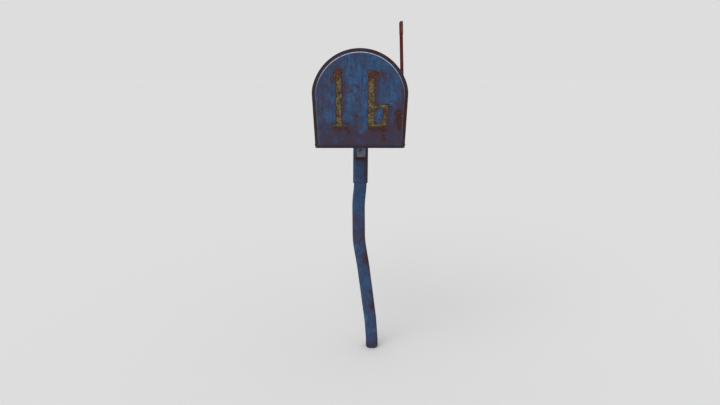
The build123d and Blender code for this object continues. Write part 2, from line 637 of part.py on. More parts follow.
# The striker's tip rises a little as it leaves, so the spring's low point clears that arc.
tip_back = striker_y + STRIKER_REACH + DOOR_SHEET - PIVOT_Y
tip_top = PIVOT_RISE + hypot(striker_top - PIVOT_RISE, tip_back)
spring_low = tip_top + CATCH_GAP + CATCH_SHEET
spring_roof = BOX_HEIGHT - LINER_INSET - CURVE_GAP
spring_end = BODY_FRONT_Y + CATCH_LENGTH
catch_spring = strip(
    [
        (BODY_FRONT_Y + 4, spring_low + 4),
        (BODY_FRONT_Y + 12, spring_low),
        (spring_end - CATCH_TAIL - 4, spring_roof - 1),
        (spring_end - CATCH_TAIL, spring_roof),
        (spring_end, spring_roof),
    ],
    CATCH_SHEET,
    CATCH_WIDTH,
    mid_plane,
)
with catch_spring:
    with Locations(*catch_rivet_planes):
        Cylinder(RIVET_RADIUS + FASTENER_FIT, 8 * BODY_SHEET, mode=Mode.SUBTRACT)
save(catch_spring, "catch_spring")

catch_rivets = rivet_set(catch_rivet_planes, BODY_SHEET + CURVE_GAP + CATCH_SHEET, CROWN_GAP)
save(catch_rivets, "catch_rivets")

# --- Flag ---
web_inner = ARM_WALL_GAP + ARM_DEPTH - ARM_SHEET
web_outer = ARM_WALL_GAP + ARM_DEPTH
boss_top = web_inner - FLAG_PLAY - FLAG_WASHER_THICK
with BuildPart() as flag_bracket:
    with BuildSketch(flag_plane):
        with Locations((bracket_low, bracket_low)):
            side_length = BRACKET_TRAVEL - bracket_low
            Rectangle(side_length, side_length, align=(Align.MIN, Align.MIN))
    extrude(amount=BRACKET_SHEET)
    with BuildSketch(flag_plane):
        with Locations((-stop_reach - STOP_SHEET, 0)):
            Rectangle(STOP_SHEET, STOP_LENGTH, align=(Align.MIN, Align.MIN))
        with Locations((0, -stop_reach - STOP_SHEET)):
            Rectangle(STOP_LENGTH, STOP_SHEET, align=(Align.MIN, Align.MIN))
    extrude(amount=BRACKET_SHEET + STOP_HEIGHT)
    with Locations(flag_plane):
        Cylinder(BOSS_RADIUS, boss_top, align=ALONG_MIN)
        Cylinder(FLAG_BOLT_RADIUS + FASTENER_FIT, 2 * boss_top + 1, mode=Mode.SUBTRACT)
    with Locations(*bracket_rivet_planes):
        Cylinder(RIVET_RADIUS + FASTENER_FIT, 4 * BRACKET_SHEET, mode=Mode.SUBTRACT)
save(flag_bracket, "flag_bracket")

corner_drop = bracket_rivet**2 / (2 * (SHOULDER_RADIUS - BODY_INSET))
bracket_grip = BRACKET_SHEET + corner_drop + BODY_SHEET + CURVE_GAP
flag_bracket_rivets = rivet_set(bracket_rivet_planes, bracket_grip)
save(flag_bracket_rivets, "flag_bracket_rivets")

with BuildPart() as flag_pivot_bolt:
    with BuildSketch(flag_plane.offset(web_outer + FLAG_PLAY)):
        RegularPolygon(FLAG_HEX_FLATS / 2, 6, major_radius=False)
    extrude(amount=FLAG_HEAD_HEIGHT)
    with BuildSketch(flag_plane.offset(web_outer + FLAG_PLAY)):
        Circle(FLAG_BOLT_RADIUS)
    extrude(amount=-(web_outer + FLAG_PLAY + BODY_SHEET + CURVE_GAP + FLAG_NUT_HEIGHT + 2))
save(flag_pivot_bolt, "flag_pivot_bolt")

with BuildPart() as flag_pivot_nut:
    with BuildSketch(flag_plane.offset(-BODY_SHEET - CURVE_GAP)):
        RegularPolygon(FLAG_HEX_FLATS / 2, 6, major_radius=False)
        Circle(FLAG_BOLT_RADIUS + FASTENER_FIT, mode=Mode.SUBTRACT)
    extrude(amount=-FLAG_NUT_HEIGHT)
save(flag_pivot_nut, "flag_pivot_nut")

with BuildPart() as flag_spring_washer:
    with BuildSketch(flag_plane.offset(boss_top)):
        Circle(FLAG_WASHER_RADIUS)
        Circle(FLAG_BOLT_RADIUS + FASTENER_FIT, mode=Mode.SUBTRACT)
    extrude(amount=FLAG_WASHER_THICK)
save(flag_spring_washer, "flag_spring_washer")

arm_top = FLAG_REACH - ARM_TOP_GAP
blade_low = FLAG_REACH - BLADE_HEIGHT
flag_rivet_planes = [
    Plane(flag_plane.offset(web_outer + BLADE_SHEET).from_local_coords((0, blade_low + rise, 0)),
          flag_plane.x_dir, flag_plane.z_dir)
    for rise in FLAG_RIVET_RISES
]


def arm_outline(edge):
    """Arm outline set in by an edge: round about the pivot, straight up to a square top."""
    half = ARM_WIDTH / 2 - edge
    with BuildSketch() as outline:
        Circle(half)
        Rectangle(2 * half, arm_top - edge, align=(Align.CENTER, Align.MIN))
    return outline.sketch


with BuildPart() as flag_arm:
    with BuildSketch(flag_plane.offset(ARM_WALL_GAP)):
        add(arm_outline(0))
    extrude(amount=ARM_DEPTH)
    with BuildSketch(flag_plane.offset(ARM_WALL_GAP)):
        add(arm_outline(ARM_SHEET))
    extrude(amount=ARM_DEPTH - ARM_SHEET, mode=Mode.SUBTRACT)
    with Locations(flag_plane):
        Cylinder(FLAG_BOLT_RADIUS + FLAG_BOLT_FIT, 3 * web_outer, mode=Mode.SUBTRACT)
    with Locations(*flag_rivet_planes):
        Cylinder(RIVET_RADIUS + FASTENER_FIT, 4 * ARM_SHEET + BLADE_SHEET, mode=Mode.SUBTRACT)
save(flag_arm, "flag_arm")

blade_front = -ARM_WIDTH / 2 - BLADE_LEAD
blade_top_z = web_outer + BLADE_SHEET
with BuildPart() as flag_blade:
    with BuildSketch(flag_plane.offset(blade_top_z)):
        with Locations((blade_front, blade_low)):
            Rectangle(BLADE_LENGTH, BLADE_HEIGHT, align=(Align.MIN, Align.MIN))
    extrude(amount=-BLADE_DEPTH)
    with BuildSketch(flag_plane.offset(web_outer)):
        with Locations((blade_front + BLADE_SHEET, blade_low + BLADE_SHEET)):
            inner_height = BLADE_HEIGHT - 2 * BLADE_SHEET
            Rectangle(BLADE_LENGTH - 2 * BLADE_SHEET, inner_height, align=(Align.MIN, Align.MIN))
        with Locations((0, blade_low)):
            Rectangle(ARM_WIDTH + 2 * BLADE_NOTCH_FIT, 4 * BLADE_SHEET)
    extrude(amount=-BLADE_DEPTH, mode=Mode.SUBTRACT)
    with Locations(*flag_rivet_planes):
        Cylinder(RIVET_RADIUS + FASTENER_FIT, 4 * BLADE_SHEET, mode=Mode.SUBTRACT)
save(flag_blade, "flag_blade")

flag_rivets = rivet_set(flag_rivet_planes, BLADE_SHEET + ARM_SHEET)
save(flag_rivets, "flag_rivets")
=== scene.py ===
"""Looks of a weathered rural post box: tunnel-topped box, drop-down door, side flag, bent post."""
import json
import math

import bmesh
import bpy
import numpy as np
from bpy.props import FloatProperty, FloatVectorProperty, PointerProperty
from bpy.types import Operator, Panel, PropertyGroup
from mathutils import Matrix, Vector


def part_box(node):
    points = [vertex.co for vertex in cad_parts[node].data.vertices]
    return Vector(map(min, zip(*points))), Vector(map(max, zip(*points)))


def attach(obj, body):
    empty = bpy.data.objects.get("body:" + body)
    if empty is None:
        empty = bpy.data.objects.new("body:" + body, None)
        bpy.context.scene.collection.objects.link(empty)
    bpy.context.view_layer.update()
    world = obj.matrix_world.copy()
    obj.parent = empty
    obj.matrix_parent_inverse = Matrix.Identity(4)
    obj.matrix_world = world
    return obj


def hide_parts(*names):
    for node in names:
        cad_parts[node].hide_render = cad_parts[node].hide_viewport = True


bl_info = {
    "name": "Weathered Post Box",
    "version": (1, 0, 0),
    "blender": (4, 5, 0),
    "location": "View3D > Sidebar > Post Box",
    "description": "Builds the painted sheet metal, post, flag and hardware of a rural post box",
    "category": "Object",
}

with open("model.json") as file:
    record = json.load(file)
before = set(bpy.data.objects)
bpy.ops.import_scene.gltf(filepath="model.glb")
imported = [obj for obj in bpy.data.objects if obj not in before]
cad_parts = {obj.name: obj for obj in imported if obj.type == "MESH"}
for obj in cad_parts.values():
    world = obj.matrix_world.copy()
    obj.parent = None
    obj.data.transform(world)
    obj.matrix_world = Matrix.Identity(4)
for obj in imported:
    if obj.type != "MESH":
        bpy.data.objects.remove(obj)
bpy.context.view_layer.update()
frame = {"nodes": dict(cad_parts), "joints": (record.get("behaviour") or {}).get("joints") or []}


def corners(box):
    """Lowest and highest corners of a box, as arrays."""
    return np.array(box[0]), np.array(box[1])


MM = 0.001
JOINTS = {joint["name"]: joint for joint in frame["joints"]}
ROOT, DOOR, FLAG = "post_and_box", "door", "flag"
# Steps along the five segments of half an outline: bottom, corner, side, shoulder, crown or top.
TUNNEL_STEPS = (44, 8, 52, 14, 66)
TRAY_STEPS = (10, 10, 60, 6, 10)
BOARD_STEPS = (60, 5, 6, 5, 60)
# How far the raised panels lie behind the CAD faces, so that dents only go in.
SET_BACK = 0.3 * MM

DOOR_LOW, DOOR_HIGH = corners(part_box("door_panel"))
BOX_X = (DOOR_LOW[0] + DOOR_HIGH[0]) / 2
BOX_Z = DOOR_LOW[2]
HALF_WIDTH = (DOOR_HIGH[0] - DOOR_LOW[0]) / 2
BOX_HEIGHT = DOOR_HIGH[2] - DOOR_LOW[2]
HINGE = np.array(JOINTS["door_hinge"]["pos_m"])


def linear(code):
    """Turn an sRGB hex colour into linear red, green and blue."""
    shares = [int(code[i:i + 2], 16) / 255 for i in (1, 3, 5)]
    return tuple(c / 12.92 if c <= 0.04045 else ((c + 0.055) / 1.055) ** 2.4 for c in shares)


def length(name, default_mm, words):
    """A length property whose default is given in millimetres."""
    return FloatProperty(name=name, description=words, default=default_mm * MM, min=0.0,
                         unit="LENGTH")


def colour(name, code, words):
    """A colour property whose default is given as sRGB hex."""
    return FloatVectorProperty(name=name, description=words, default=linear(code), subtype="COLOR",
                               min=0, max=1)


class BoxShape(PropertyGroup):
    """The tunnel outline and the sheet metal of the box."""

    shoulder_height: length("Shoulder height", 210.6, "Height of the widest line above the bottom")
    shoulder_radius: length("Shoulder radius", 125.0, "Radius of the arc that joins side and crown")
    side_lean: FloatProperty(
        name="Side lean", description="How far the sides lean out going up",
        default=math.radians(2.58), subtype="ANGLE",
    )
    sheet: length("Sheet", 1.25, "Thickness of the pressed sheet")
    rim_width: length("Rim width", 12.0, "Plain band between the door's edge and its bevel")
    rim_below: length("Rim below", 8.0, "Plain band under the bevel at the door's foot")
    bevel: length("Bevel", 5.5, "Width and height of the bevel round the raised panel")
    dent: length("Dents", 0.9, "Depth of the uneven dents in the panels")
    bead: length("Bead", 2.9, "Radius of the rolled bead at the body's mouth")


class PostShape(PropertyGroup):
    """The bent post and its collar."""

    corner: length("Corner cut", 12.0, "Chamfer of the post's corners")
    collar_corner: length("Collar corner cut", 13.4, "Chamfer of the collar's corners")
    edge: length("Edge rounding", 3.0, "Rounding of the chamfers' edges")
    foot_round: length("Foot rounding", 11.5, "Rounding of the closed lower end")
    bend_reach: length("Bend reach", 30.0, "Half the length over which each bend turns")
    unevenness: length("Unevenness", 0.5, "Depth of the ripples in the post's faces")
    wall: length("Wall", 3.0, "Thickness of the post's wall")
    collar_wall: length("Collar wall", 3.4, "Thickness of the collar's wall")


class FigureShape(PropertyGroup):
    """The hand-painted house number on the door."""

    film: length("Paint film", 0.12, "Thickness of the painted figures")
    cell: length("Film cells", 1.0, "Spacing of the grid that the figures are cut from")
    ragged: length("Ragged edge", 2.2, "How far the figures' edges wander")
    # The halo is a painted shadow that the figures cast to the right of and below themselves.
    figure_shadow: length("Halo", 8.0, "How far the dark stain round the figures reaches")


class PaintColours(PropertyGroup):
    """Colours of paints, rust and metals."""

    blue: colour("Blue enamel", "#30537e", "Faded blue enamel")
    pale_blue: colour("Bright enamel", "#366a96", "Less faded clouds in the enamel")
    deep_blue: colour("Deep enamel", "#273654", "Sunken brush marks in the enamel")
    haze: colour("Haze", "#43323e", "Violet-brown haze where rust stains the enamel")
    rust: colour("Rust", "#3f231f", "Dark iron oxide")
    light_rust: colour("Light rust", "#6b3c27", "Fresh orange-brown oxide")
    # This dark colour is dirt in rims and seams, and also painted shade in those recesses and down
    # the post's shaded sides.
    grime_and_shade: colour("Grime", "#2e2329", "Dirt held in rims and seams")
    # This pale colour is laid on as a painted highlight along crests.
    painted_highlight: colour("Worn edge", "#cfd2d8", "Edge rubbed to primer and metal")
    figures: colour("Figure paint", "#7f6d45", "Ochre paint of the figures")
    figure_shade: colour("Figure shade", "#565237", "Darker, greener drifts in the figures")
    figure_rust: colour("Figure rust", "#5c351f", "Rust that bleeds up through the figures")
    figure_lost: colour("Flaked figure", "#33262b", "Dark ground where the figures have flaked")
    red: colour("Flag red", "#6c120f", "Deep red enamel of the flag")
    bright_red: colour("Flag bright red", "#781812", "Less faded clouds in the flag's enamel")
    deep_red: colour("Flag deep red", "#4c0f0e", "Sunken brush marks in the flag's enamel")
    flag_brown: colour("Flag brown", "#6b4d42", "Red enamel browned by rust")
    primer: colour("Primer", "#5d6066", "Grey primer on the inside sheets")
    thin_primer: colour("Thin primer", "#46423f", "Primer worn thin over steel")
    zinc: colour("Zinc", "#808c9b", "Weathered hot-dip zinc")
    dark_zinc: colour("Dark zinc", "#4b5463", "Darker crystals in the zinc")
    fastener: colour("Fasteners", "#807f7e", "Plated screws, bolts and nuts")
    rivet: colour("Rivets", "#3c4d6b", "Rivets with thin blue overspray")
    spring: colour("Springs", "#66676b", "Tempered spring steel")
    tarnish: colour("Tarnish", "#3a3838", "Tarnish on plated steel")
    wood: colour("Board", "#7b6e5f", "Grey-brown weathered softwood")
    late_wood: colour("Board rings", "#554a40", "Darker growth rings in the board")
    checks: colour("Board checks", "#332b25", "Dark checks between the board's fibres")


# ---------------------------------------------------------------- numbers and surfaces


def span(node, origin, direction):
    """Lowest and highest reach of a CAD node along a direction from an origin."""
    mesh = frame["nodes"][node].data
    flat = np.empty(len(mesh.vertices) * 3)
    mesh.vertices.foreach_get("co", flat)
    reach = (flat.reshape(-1, 3) - np.array(origin)) @ np.array(direction)
    return reach.min(), reach.max()


def smooth(t):
    """Ease from 0 to 1: three t squared less two t cubed, held flat outside."""
    t = np.clip(t, 0, 1)
    return t * t * (3 - 2 * t)


def bell(offset, reach):
    """Bell curve: one where the offset is zero, about a third where it equals the reach."""
    return np.exp(-(offset / reach) ** 2)


def joined(*coordinates):
    """Coordinates side by side on a last axis, each spread to their common shape."""
    return np.stack(np.broadcast_arrays(*coordinates), axis=-1)


def quarter(radius, count):
    """Run and rise along a quarter circle in equal turns: both go from 0 to the radius.

    The run is the radius less its cosine's share, which starts slowly; the rise is the sine's.
    """
    turn = np.linspace(0, math.pi / 2, count)
    return radius * (1 - np.cos(turn)), radius * np.sin(turn)


def ripple(points, size, seed, waves=9):
    """Smooth unevenness, mostly from -1 to 1, with features of about one size in metres.

    It sums sine waves in seeded directions, each 0.6 to 1.6 times as fine as the size asks for.
    The sum's spread is brought to a half, so nearly all of it lies within one.
    """
    rng = np.random.default_rng(seed)
    turns = rng.normal(size=(waves, points.shape[-1]))
    fineness = (2 * math.pi / size) * rng.uniform(0.6, 1.6, (waves, 1))
    turns *= fineness / np.linalg.norm(turns, axis=1)[:, None]
    phase = rng.uniform(0, 2 * math.pi, waves)
    return np.sin(points @ turns.T + phase).sum(-1) / math.sqrt(waves) / 1.4


def hollow(points, size, seed):
    """Unevenness from about 0 to 1, for dents that only go in: a half plus half a ripple."""
    return 0.5 + 0.5 * ripple(points, size, seed)


def half_steps(counts, first=0):
    """Segment number and share along it for half an outline, ending with the last segment's end."""
    segment = np.concatenate([np.full(counts[k], k) for k in range(first, 5)] + [[4]])
    share = np.concatenate([np.arange(counts[k]) / counts[k] for k in range(first, 5)] + [[1.0]])
    return segment[None, :], share[None, :]


def arch_half(inset, bottom, corner, segment, t):
    """Right half of the tunnel outline: distance from the middle and height above the bottom edge.

    Segment 0 runs out along the flat bottom, 1 is the corner's arc, 2 the leaning side, 3 the
    shoulder arc about its fixed centre, 4 the crown arc up to the middle. Setting in shortens both
    radii.
    """
    shape = bpy.context.scene.box_shape
    lean, centre_z = shape.side_lean, shape.shoulder_height
    centre_x = HALF_WIDTH - shape.shoulder_radius
    drop = centre_z - BOX_HEIGHT
    # The crown's radius makes its arc meet the shoulder's without a corner.
    crown = ((shape.shoulder_radius**2 - centre_x**2 - drop**2)
             / (2 * (drop + shape.shoulder_radius)))
    join = math.atan2(centre_z - BOX_HEIGHT + crown, centre_x)
    radius = shape.shoulder_radius - inset
    corner_z = bottom + corner
    sine, cosine = math.sin(lean), math.cos(lean)
    corner_x = centre_x + (radius - corner + (corner_z - centre_z) * sine) / cosine
    foot_x, foot_z = corner_x + corner * cosine, corner_z - corner * sine
    top_x, top_z = centre_x + radius * cosine, centre_z - radius * sine
    turn = -math.pi / 2 + (math.pi / 2 - lean) * t
    swing = -lean + (join + lean) * t
    rise = join + (math.pi / 2 - join) * t
    across = [corner_x * t, corner_x + corner * np.cos(turn), foot_x + (top_x - foot_x) * t,
              centre_x + radius * np.cos(swing), (crown - inset) * np.cos(rise)]
    height = [bottom + 0 * t, corner_z + corner * np.sin(turn), foot_z + (top_z - foot_z) * t,
              centre_z + radius * np.sin(swing),
              BOX_HEIGHT - crown + (crown - inset) * np.sin(rise)]
    chosen = [segment == k for k in range(5)]
    return np.select(chosen, across), np.select(chosen, height)


def tray_half(sizes, inset, segment, t):
    """Right half of a rounded rectangle set in by a distance, with a low and a high corner radius.

    Segment 0 runs out along the bottom, 1 and 3 are quarter circles, 2 is the side and 4 runs back
    along the top. Setting in shortens both radii, but never to nothing.
    """
    width, low, high, low_radius, high_radius = sizes
    half = width / 2 - inset
    low_r, high_r = (np.maximum(radius - inset, 0.05 * MM) for radius in (low_radius, high_radius))
    low_z, high_z = low + inset + low_r, high - inset - high_r
    down, up = -math.pi / 2 * (1 - t), math.pi / 2 * t
    across = [(half - low_r) * t, half - low_r + low_r * np.cos(down), half + 0 * t,
              half - high_r + high_r * np.cos(up), (half - high_r) * (1 - t)]
    height = [low + inset + 0 * t, low_z + low_r * np.sin(down), low_z + (high_z - low_z) * t,
              high_z + high_r * np.sin(up), high - inset + 0 * t]
    chosen = [segment == k for k in range(5)]
    return np.select(chosen, across), np.select(chosen, height)


def both_halves(half, sign):
    """Close a half outline into a loop: out and up the right side, then down the left."""
    return np.concatenate([half, sign * half[:, -2:0:-1]], axis=1)


def quads(rows, columns, closed):
    """Corner numbers of the quads between neighbouring rows of a grid."""
    row = np.arange(rows - 1)[:, None] * columns
    here = np.arange(columns if closed else columns - 1)
    beside = (here + 1) % columns
    four = joined(row + here, row + beside, row + columns + beside, row + columns + here)
    return four.reshape(-1, 4)


def fan(first, columns, centre):
    """Triangles from a ring of vertices to one centre vertex."""
    here = np.arange(columns)
    return joined(first + here, first + (here + 1) % columns, centre)


def capped(rows, columns):
    """Faces of a grid of closed rings whose last ring is shut by a fan to one more vertex."""
    last = fan((rows - 1) * columns, columns, rows * columns)
    return quads(rows, columns, True).tolist() + last.tolist()


def rings_inward(rings, centre, shares):
    """Add rings to a grid: its last ring, drawn in to each share of its distance from a centre."""
    return np.concatenate([rings, centre + shares * (rings[-1:] - centre)])


def vertex_insets(insets, inner_rings, columns):
    """Inset of every vertex of a capped grid; inner rings and the middle count as a metre in."""
    return np.append(np.repeat(np.append(insets, np.ones(inner_rings)), columns), 1.0)


def zipped(first, columns):
    """Faces that shut a narrow ring by joining each vertex to its mirror on the other side."""
    here = np.arange(1, columns // 2 - 1)
    across = first + columns - here
    inner = joined(first + here, first + here + 1, across - 1, across)
    middle = columns // 2
    ends = [[first, first + 1, first + columns - 1],
            [first + middle - 1, first + middle, first + middle + 1]]
    return inner.tolist() + ends


def piece(name, points, faces, body, materials, replaces=(), values=None, wall=None,
          flip=False, sharp=None):
    """Make a mesh object at the origin from points and faces, and give it to a body.

    It is shaded smooth, but for edges over a sharp angle. Values are attributes on the points, each
    of any shape that spreads over them. A wall thickens the surface inwards, away from the side its
    faces look to, and wears the last of the materials on its inner face.
    """
    faces = [tuple(face) for face in faces]
    if flip:
        faces = [face[::-1] for face in faces]
    mesh = bpy.data.meshes.new(name)
    mesh.from_pydata(points.reshape(-1, 3).tolist(), [], faces)
    for key, value in (values or {}).items():
        spread = np.broadcast_to(value, points.shape[:-1]).astype(np.float32)
        mesh.attributes.new(key, "FLOAT", "POINT").data.foreach_set("value", spread.ravel())
    for key in materials:
        mesh.materials.append(MATERIALS[key])
    mesh.validate()
    mesh.shade_smooth()
    if sharp is not None:
        mesh.set_sharp_from_angle(angle=sharp)
    made = bpy.data.objects.new(name, mesh)
    bpy.context.scene.collection.objects.link(made)
    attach(made, body)
    if replaces:
        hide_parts(*replaces)
    if wall is not None:
        solid = made.modifiers.new("wall", "SOLIDIFY")
        solid.thickness = wall
        solid.offset = -1
        solid.use_quality_normals = True
        solid.material_offset = len(materials) - 1
        solid.material_offset_rim = 0


def softened(node, body, material, width):
    """A copy of a CAD node with its flat faces joined up and its sharp edges rounded over."""
    name = node + "_eased"
    copy = bmesh.new()
    copy.from_mesh(frame["nodes"][node].data)
    bmesh.ops.remove_doubles(copy, verts=copy.verts, dist=1e-6)
    bmesh.ops.dissolve_limit(copy, angle_limit=math.radians(1.0), verts=copy.verts,
                             edges=copy.edges)
    mesh = bpy.data.meshes.new(name)
    copy.to_mesh(mesh)
    copy.free()
    mesh.materials.clear()
    mesh.materials.append(MATERIALS[material])
    mesh.shade_smooth()
    made = bpy.data.objects.new(name, mesh)
    bpy.context.scene.collection.objects.link(made)
    rounding = made.modifiers.new("rounding", "BEVEL")
    rounding.width = width
    rounding.segments = 2
    rounding.limit_method = "ANGLE"
    rounding.angle_limit = math.radians(35)
    rounding.harden_normals = True
    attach(made, body)
    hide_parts(node)


# ---------------------------------------------------------------- materials

NOISE, CELLS, RINGS = "ShaderNodeTexNoise", "ShaderNodeTexVoronoi", "ShaderNodeTexWave"
MIX, MATH, RANGE, BUMP = "ShaderNodeMix", "ShaderNodeMath", "ShaderNodeMapRange", "ShaderNodeBump"
ATTRIBUTE, PLACE, MAPPING = "ShaderNodeAttribute", "ShaderNodeTexCoord", "ShaderNodeMapping"
COLOURS, PRODUCT = {"data_type": "RGBA"}, {"operation": "MULTIPLY"}
WEIGHED_SUM = {"operation": "MULTIPLY_ADD"}
CLAMPED_SUM = {"operation": "ADD", "use_clamp": True}
EASED = {"interpolation_type": "SMOOTHSTEP"}
PRINCIPLED, OUTPUT = "ShaderNodeBsdfPrincipled", "ShaderNodeOutputMaterial"


def add(tree, kind, settings=None, **inputs):
    """Add a shader node, set its properties, and set or link its sockets.

    A socket is named with underscores for spaces, or i and its number. A node given as a value
    links its first output, or its colour result where it mixes colours.
    """
    node = tree.nodes.new(kind)
    for key, value in (settings or {}).items():
        setattr(node, key, value)
    for key, value in inputs.items():
        by_number = key[0] == "i" and key[1:].isdigit()
        socket = node.inputs[int(key[1:]) if by_number else key.replace("_", " ")]
        if isinstance(value, bpy.types.Node):
            value = value.outputs[2 if value.bl_idname == MIX else 0]
        if isinstance(value, bpy.types.NodeSocket):
            tree.links.new(value, socket)
        else:
            socket.default_value = value
    return node


def start(name, shift=(0.0, 0.0, 0.0)):
    """An empty node material: returns it with its tree and moved object coordinates."""
    material = bpy.data.materials.new(name)
    material.use_nodes = True
    tree = material.node_tree
    tree.nodes.clear()
    where = add(tree, MAPPING, Vector=add(tree, PLACE).outputs["Object"], Location=shift)
    return material, tree, where


def rgba(value):
    """A colour property's value as a colour socket takes it."""
    return (*value, 1.0)


def weathered_enamel(name, base, bright, deep, haze, shift, bare=0.0):
    """Brushed alkyd enamel on sheet steel after years outdoors.

    It gives the eye a satin colour that has chalked in clouds, gone brown where rust stains it from
    below, and broken into rough dark oxide at edges, seams and old chips. Rims and seams also get
    dirt with painted shade, and crests a pale painted highlight. Bare adds more oxide.
    """
    colours = bpy.context.scene.paint_colours
    material, tree, where = start(name, shift)
    # The surface's own values say where stain, oxide, wear, dirt with painted shade, and a painted
    # highlight gather.
    stain_and_shade, rust, wear, dirt_and_shade, crest_highlight = (add(tree, ATTRIBUTE, {"attribute_name": key}).outputs["Fac"]
                                      for key in ("stain_and_shade", "rust", "wear", "dirt_and_shade", "crest_highlight"))
    # Brush marks about 5 mm wide run down the height, eight times longer than wide.
    brushed = add(tree, MAPPING, Vector=where, Scale=(1.0, 1.0, 0.12))
    marks = add(tree, NOISE, Vector=brushed, Scale=200.0, Detail=5.0, Roughness=0.62)
    # Chalking in clouds about 70 mm across, with mottle of 14 mm in them.
    clouds = add(tree, NOISE, Vector=where, Scale=14.0, Detail=6.0, Roughness=0.6, Distortion=0.4)
    mottle = add(tree, NOISE, Vector=where, Scale=70.0, Detail=8.0, Roughness=0.66, Distortion=0.5)
    chalked = add(tree, RANGE, EASED, Value=clouds, From_Min=0.44, From_Max=0.64)
    sunk = add(tree, RANGE, EASED, Value=mottle, From_Min=0.50, From_Max=0.34)
    brushing = add(tree, RANGE, Value=marks, From_Min=0.36, From_Max=0.64, To_Max=0.7)
    faded = add(tree, MIX, COLOURS, i0=chalked, i6=rgba(base), i7=rgba(bright))
    for share in (sunk, brushing):
        faded = add(tree, MIX, COLOURS, i0=share, i6=faded, i7=rgba(deep))
    # The haze gathers where the stain value is high, in ragged patches of 40 and 10 mm; on the door
    # and the collar that value also holds painted shadow and shade.
    drift = add(tree, NOISE, Vector=where, Scale=25.0, Detail=9.0, Roughness=0.7, Distortion=0.7)
    scuff = add(tree, NOISE, Vector=where, Scale=95.0, Detail=7.0, Roughness=0.7)
    haze_risk = drift
    for value, weight in ((stain_and_shade, 0.32), (scuff, 0.45)):
        haze_risk = add(tree, MATH, WEIGHED_SUM, i0=value, i1=weight, i2=haze_risk)
    hazed = add(tree, RANGE, Value=haze_risk, From_Min=0.70, From_Max=1.05)
    uneven = add(tree, RANGE, EASED, Value=mottle, From_Min=0.38, From_Max=0.62, To_Max=0.5)
    hazes = add(tree, MIX, COLOURS, i0=uneven, i6=rgba(haze), i7=rgba(deep))
    tinted = add(tree, MIX, COLOURS, i0=hazed, i6=faded, i7=hazes)
    # Oxide breaks through in blooms of 20 mm with 2 mm crumbs, helped by rust, wear and stain.
    oxide_risk = add(tree, NOISE, Vector=where, Scale=50.0, Detail=12.0, Roughness=0.72,
                     Distortion=0.8)
    for value, weight in ((rust, 0.26), (wear, 0.14), (stain_and_shade, 0.04)):
        oxide_risk = add(tree, MATH, WEIGHED_SUM, i0=value, i1=weight, i2=oxide_risk)
    oxide = add(tree, RANGE, EASED, Value=oxide_risk, From_Min=0.66 - bare, From_Max=0.76 - bare)
    crumbs = add(tree, NOISE, Vector=where, Scale=420.0, Detail=5.0, Roughness=0.75)
    fresh = add(tree, RANGE, EASED, Value=crumbs, From_Min=0.50, From_Max=0.68)
    oxides = add(tree, MIX, COLOURS, i0=fresh, i6=rgba(colours.rust), i7=rgba(colours.light_rust))
    rusted = add(tree, MIX, COLOURS, i0=oxide, i6=tinted, i7=oxides)
    # Dirt and painted shade lie in the rims and seams that carry a band value; crests carry a pale
    # painted highlight.
    band_darkness = add(tree, RANGE, Value=mottle, From_Min=0.35, From_Max=0.65, To_Min=0.98, To_Max=0.70)
    band_dark_colour = add(tree, MIX, COLOURS, i0=oxide, i6=rgba(colours.grime_and_shade), i7=rgba(colours.rust))
    band_share = add(tree, MATH, PRODUCT, i0=band_darkness, i1=dirt_and_shade)
    band_darkened = add(tree, MIX, COLOURS, i0=band_share, i6=rusted, i7=band_dark_colour)
    # The crest value lays on a pale painted highlight, broken up by the scuff noise.
    highlight_breakup = add(tree, RANGE, Value=scuff, From_Min=0.30, From_Max=0.50)
    highlight_strength = add(tree, MATH, {"operation": "MULTIPLY", "use_clamp": True}, i0=crest_highlight, i1=highlight_breakup)
    final = add(tree, MIX, COLOURS, i0=highlight_strength, i6=band_darkened, i7=rgba(colours.painted_highlight))
    half_hazed = add(tree, MATH, PRODUCT, i0=hazed, i1=0.5)
    coarse = add(tree, MATH, CLAMPED_SUM, i0=oxide, i1=half_hazed)
    rough = add(tree, RANGE, Value=coarse, To_Min=0.48, To_Max=0.93)
    # Paint stands a third of a millimetre over the pitted steel.
    relief = add(tree, MATH, PRODUCT, i0=oxide, i1=-0.6)
    for value, weight in ((crumbs, 0.45), (marks, 0.10)):
        relief = add(tree, MATH, WEIGHED_SUM, i0=value, i1=weight, i2=relief)
    bump = add(tree, BUMP, Strength=0.6, Distance=0.0005, Height=relief)
    add(tree, OUTPUT, Surface=add(tree, PRINCIPLED, Base_Color=final, Roughness=rough, Normal=bump,
                                  Specular_IOR_Level=0.22))
    return material


def primed_steel(name):
    """Rolled sheet steel with thin grey primer: flat grey, spotted with orange-brown rust."""
    colours = bpy.context.scene.paint_colours
    material, tree, where = start(name, (3.1, 0.4, 1.7))
    # Primer wears unevenly over about 50 mm; spots are 10 mm.
    wash = add(tree, NOISE, Vector=where, Scale=20.0, Detail=6.0, Roughness=0.6)
    bloom = add(tree, NOISE, Vector=where, Scale=95.0, Detail=9.0, Roughness=0.72, Distortion=0.6)
    spots = add(tree, RANGE, EASED, Value=bloom, From_Min=0.52, From_Max=0.66)
    thin = add(tree, RANGE, Value=wash, From_Min=0.35, From_Max=0.65)
    base = add(tree, MIX, COLOURS, i0=thin, i6=rgba(colours.primer), i7=rgba(colours.thin_primer))
    final = add(tree, MIX, COLOURS, i0=spots, i6=base, i7=rgba(colours.light_rust))
    rough = add(tree, RANGE, Value=spots, To_Min=0.52, To_Max=0.92)
    bump = add(tree, BUMP, Strength=0.4, Distance=0.0003, Height=bloom)
    add(tree, OUTPUT, Surface=add(tree, PRINCIPLED, Base_Color=final, Roughness=rough, Normal=bump,
                                  Metallic=0.25))
    return material


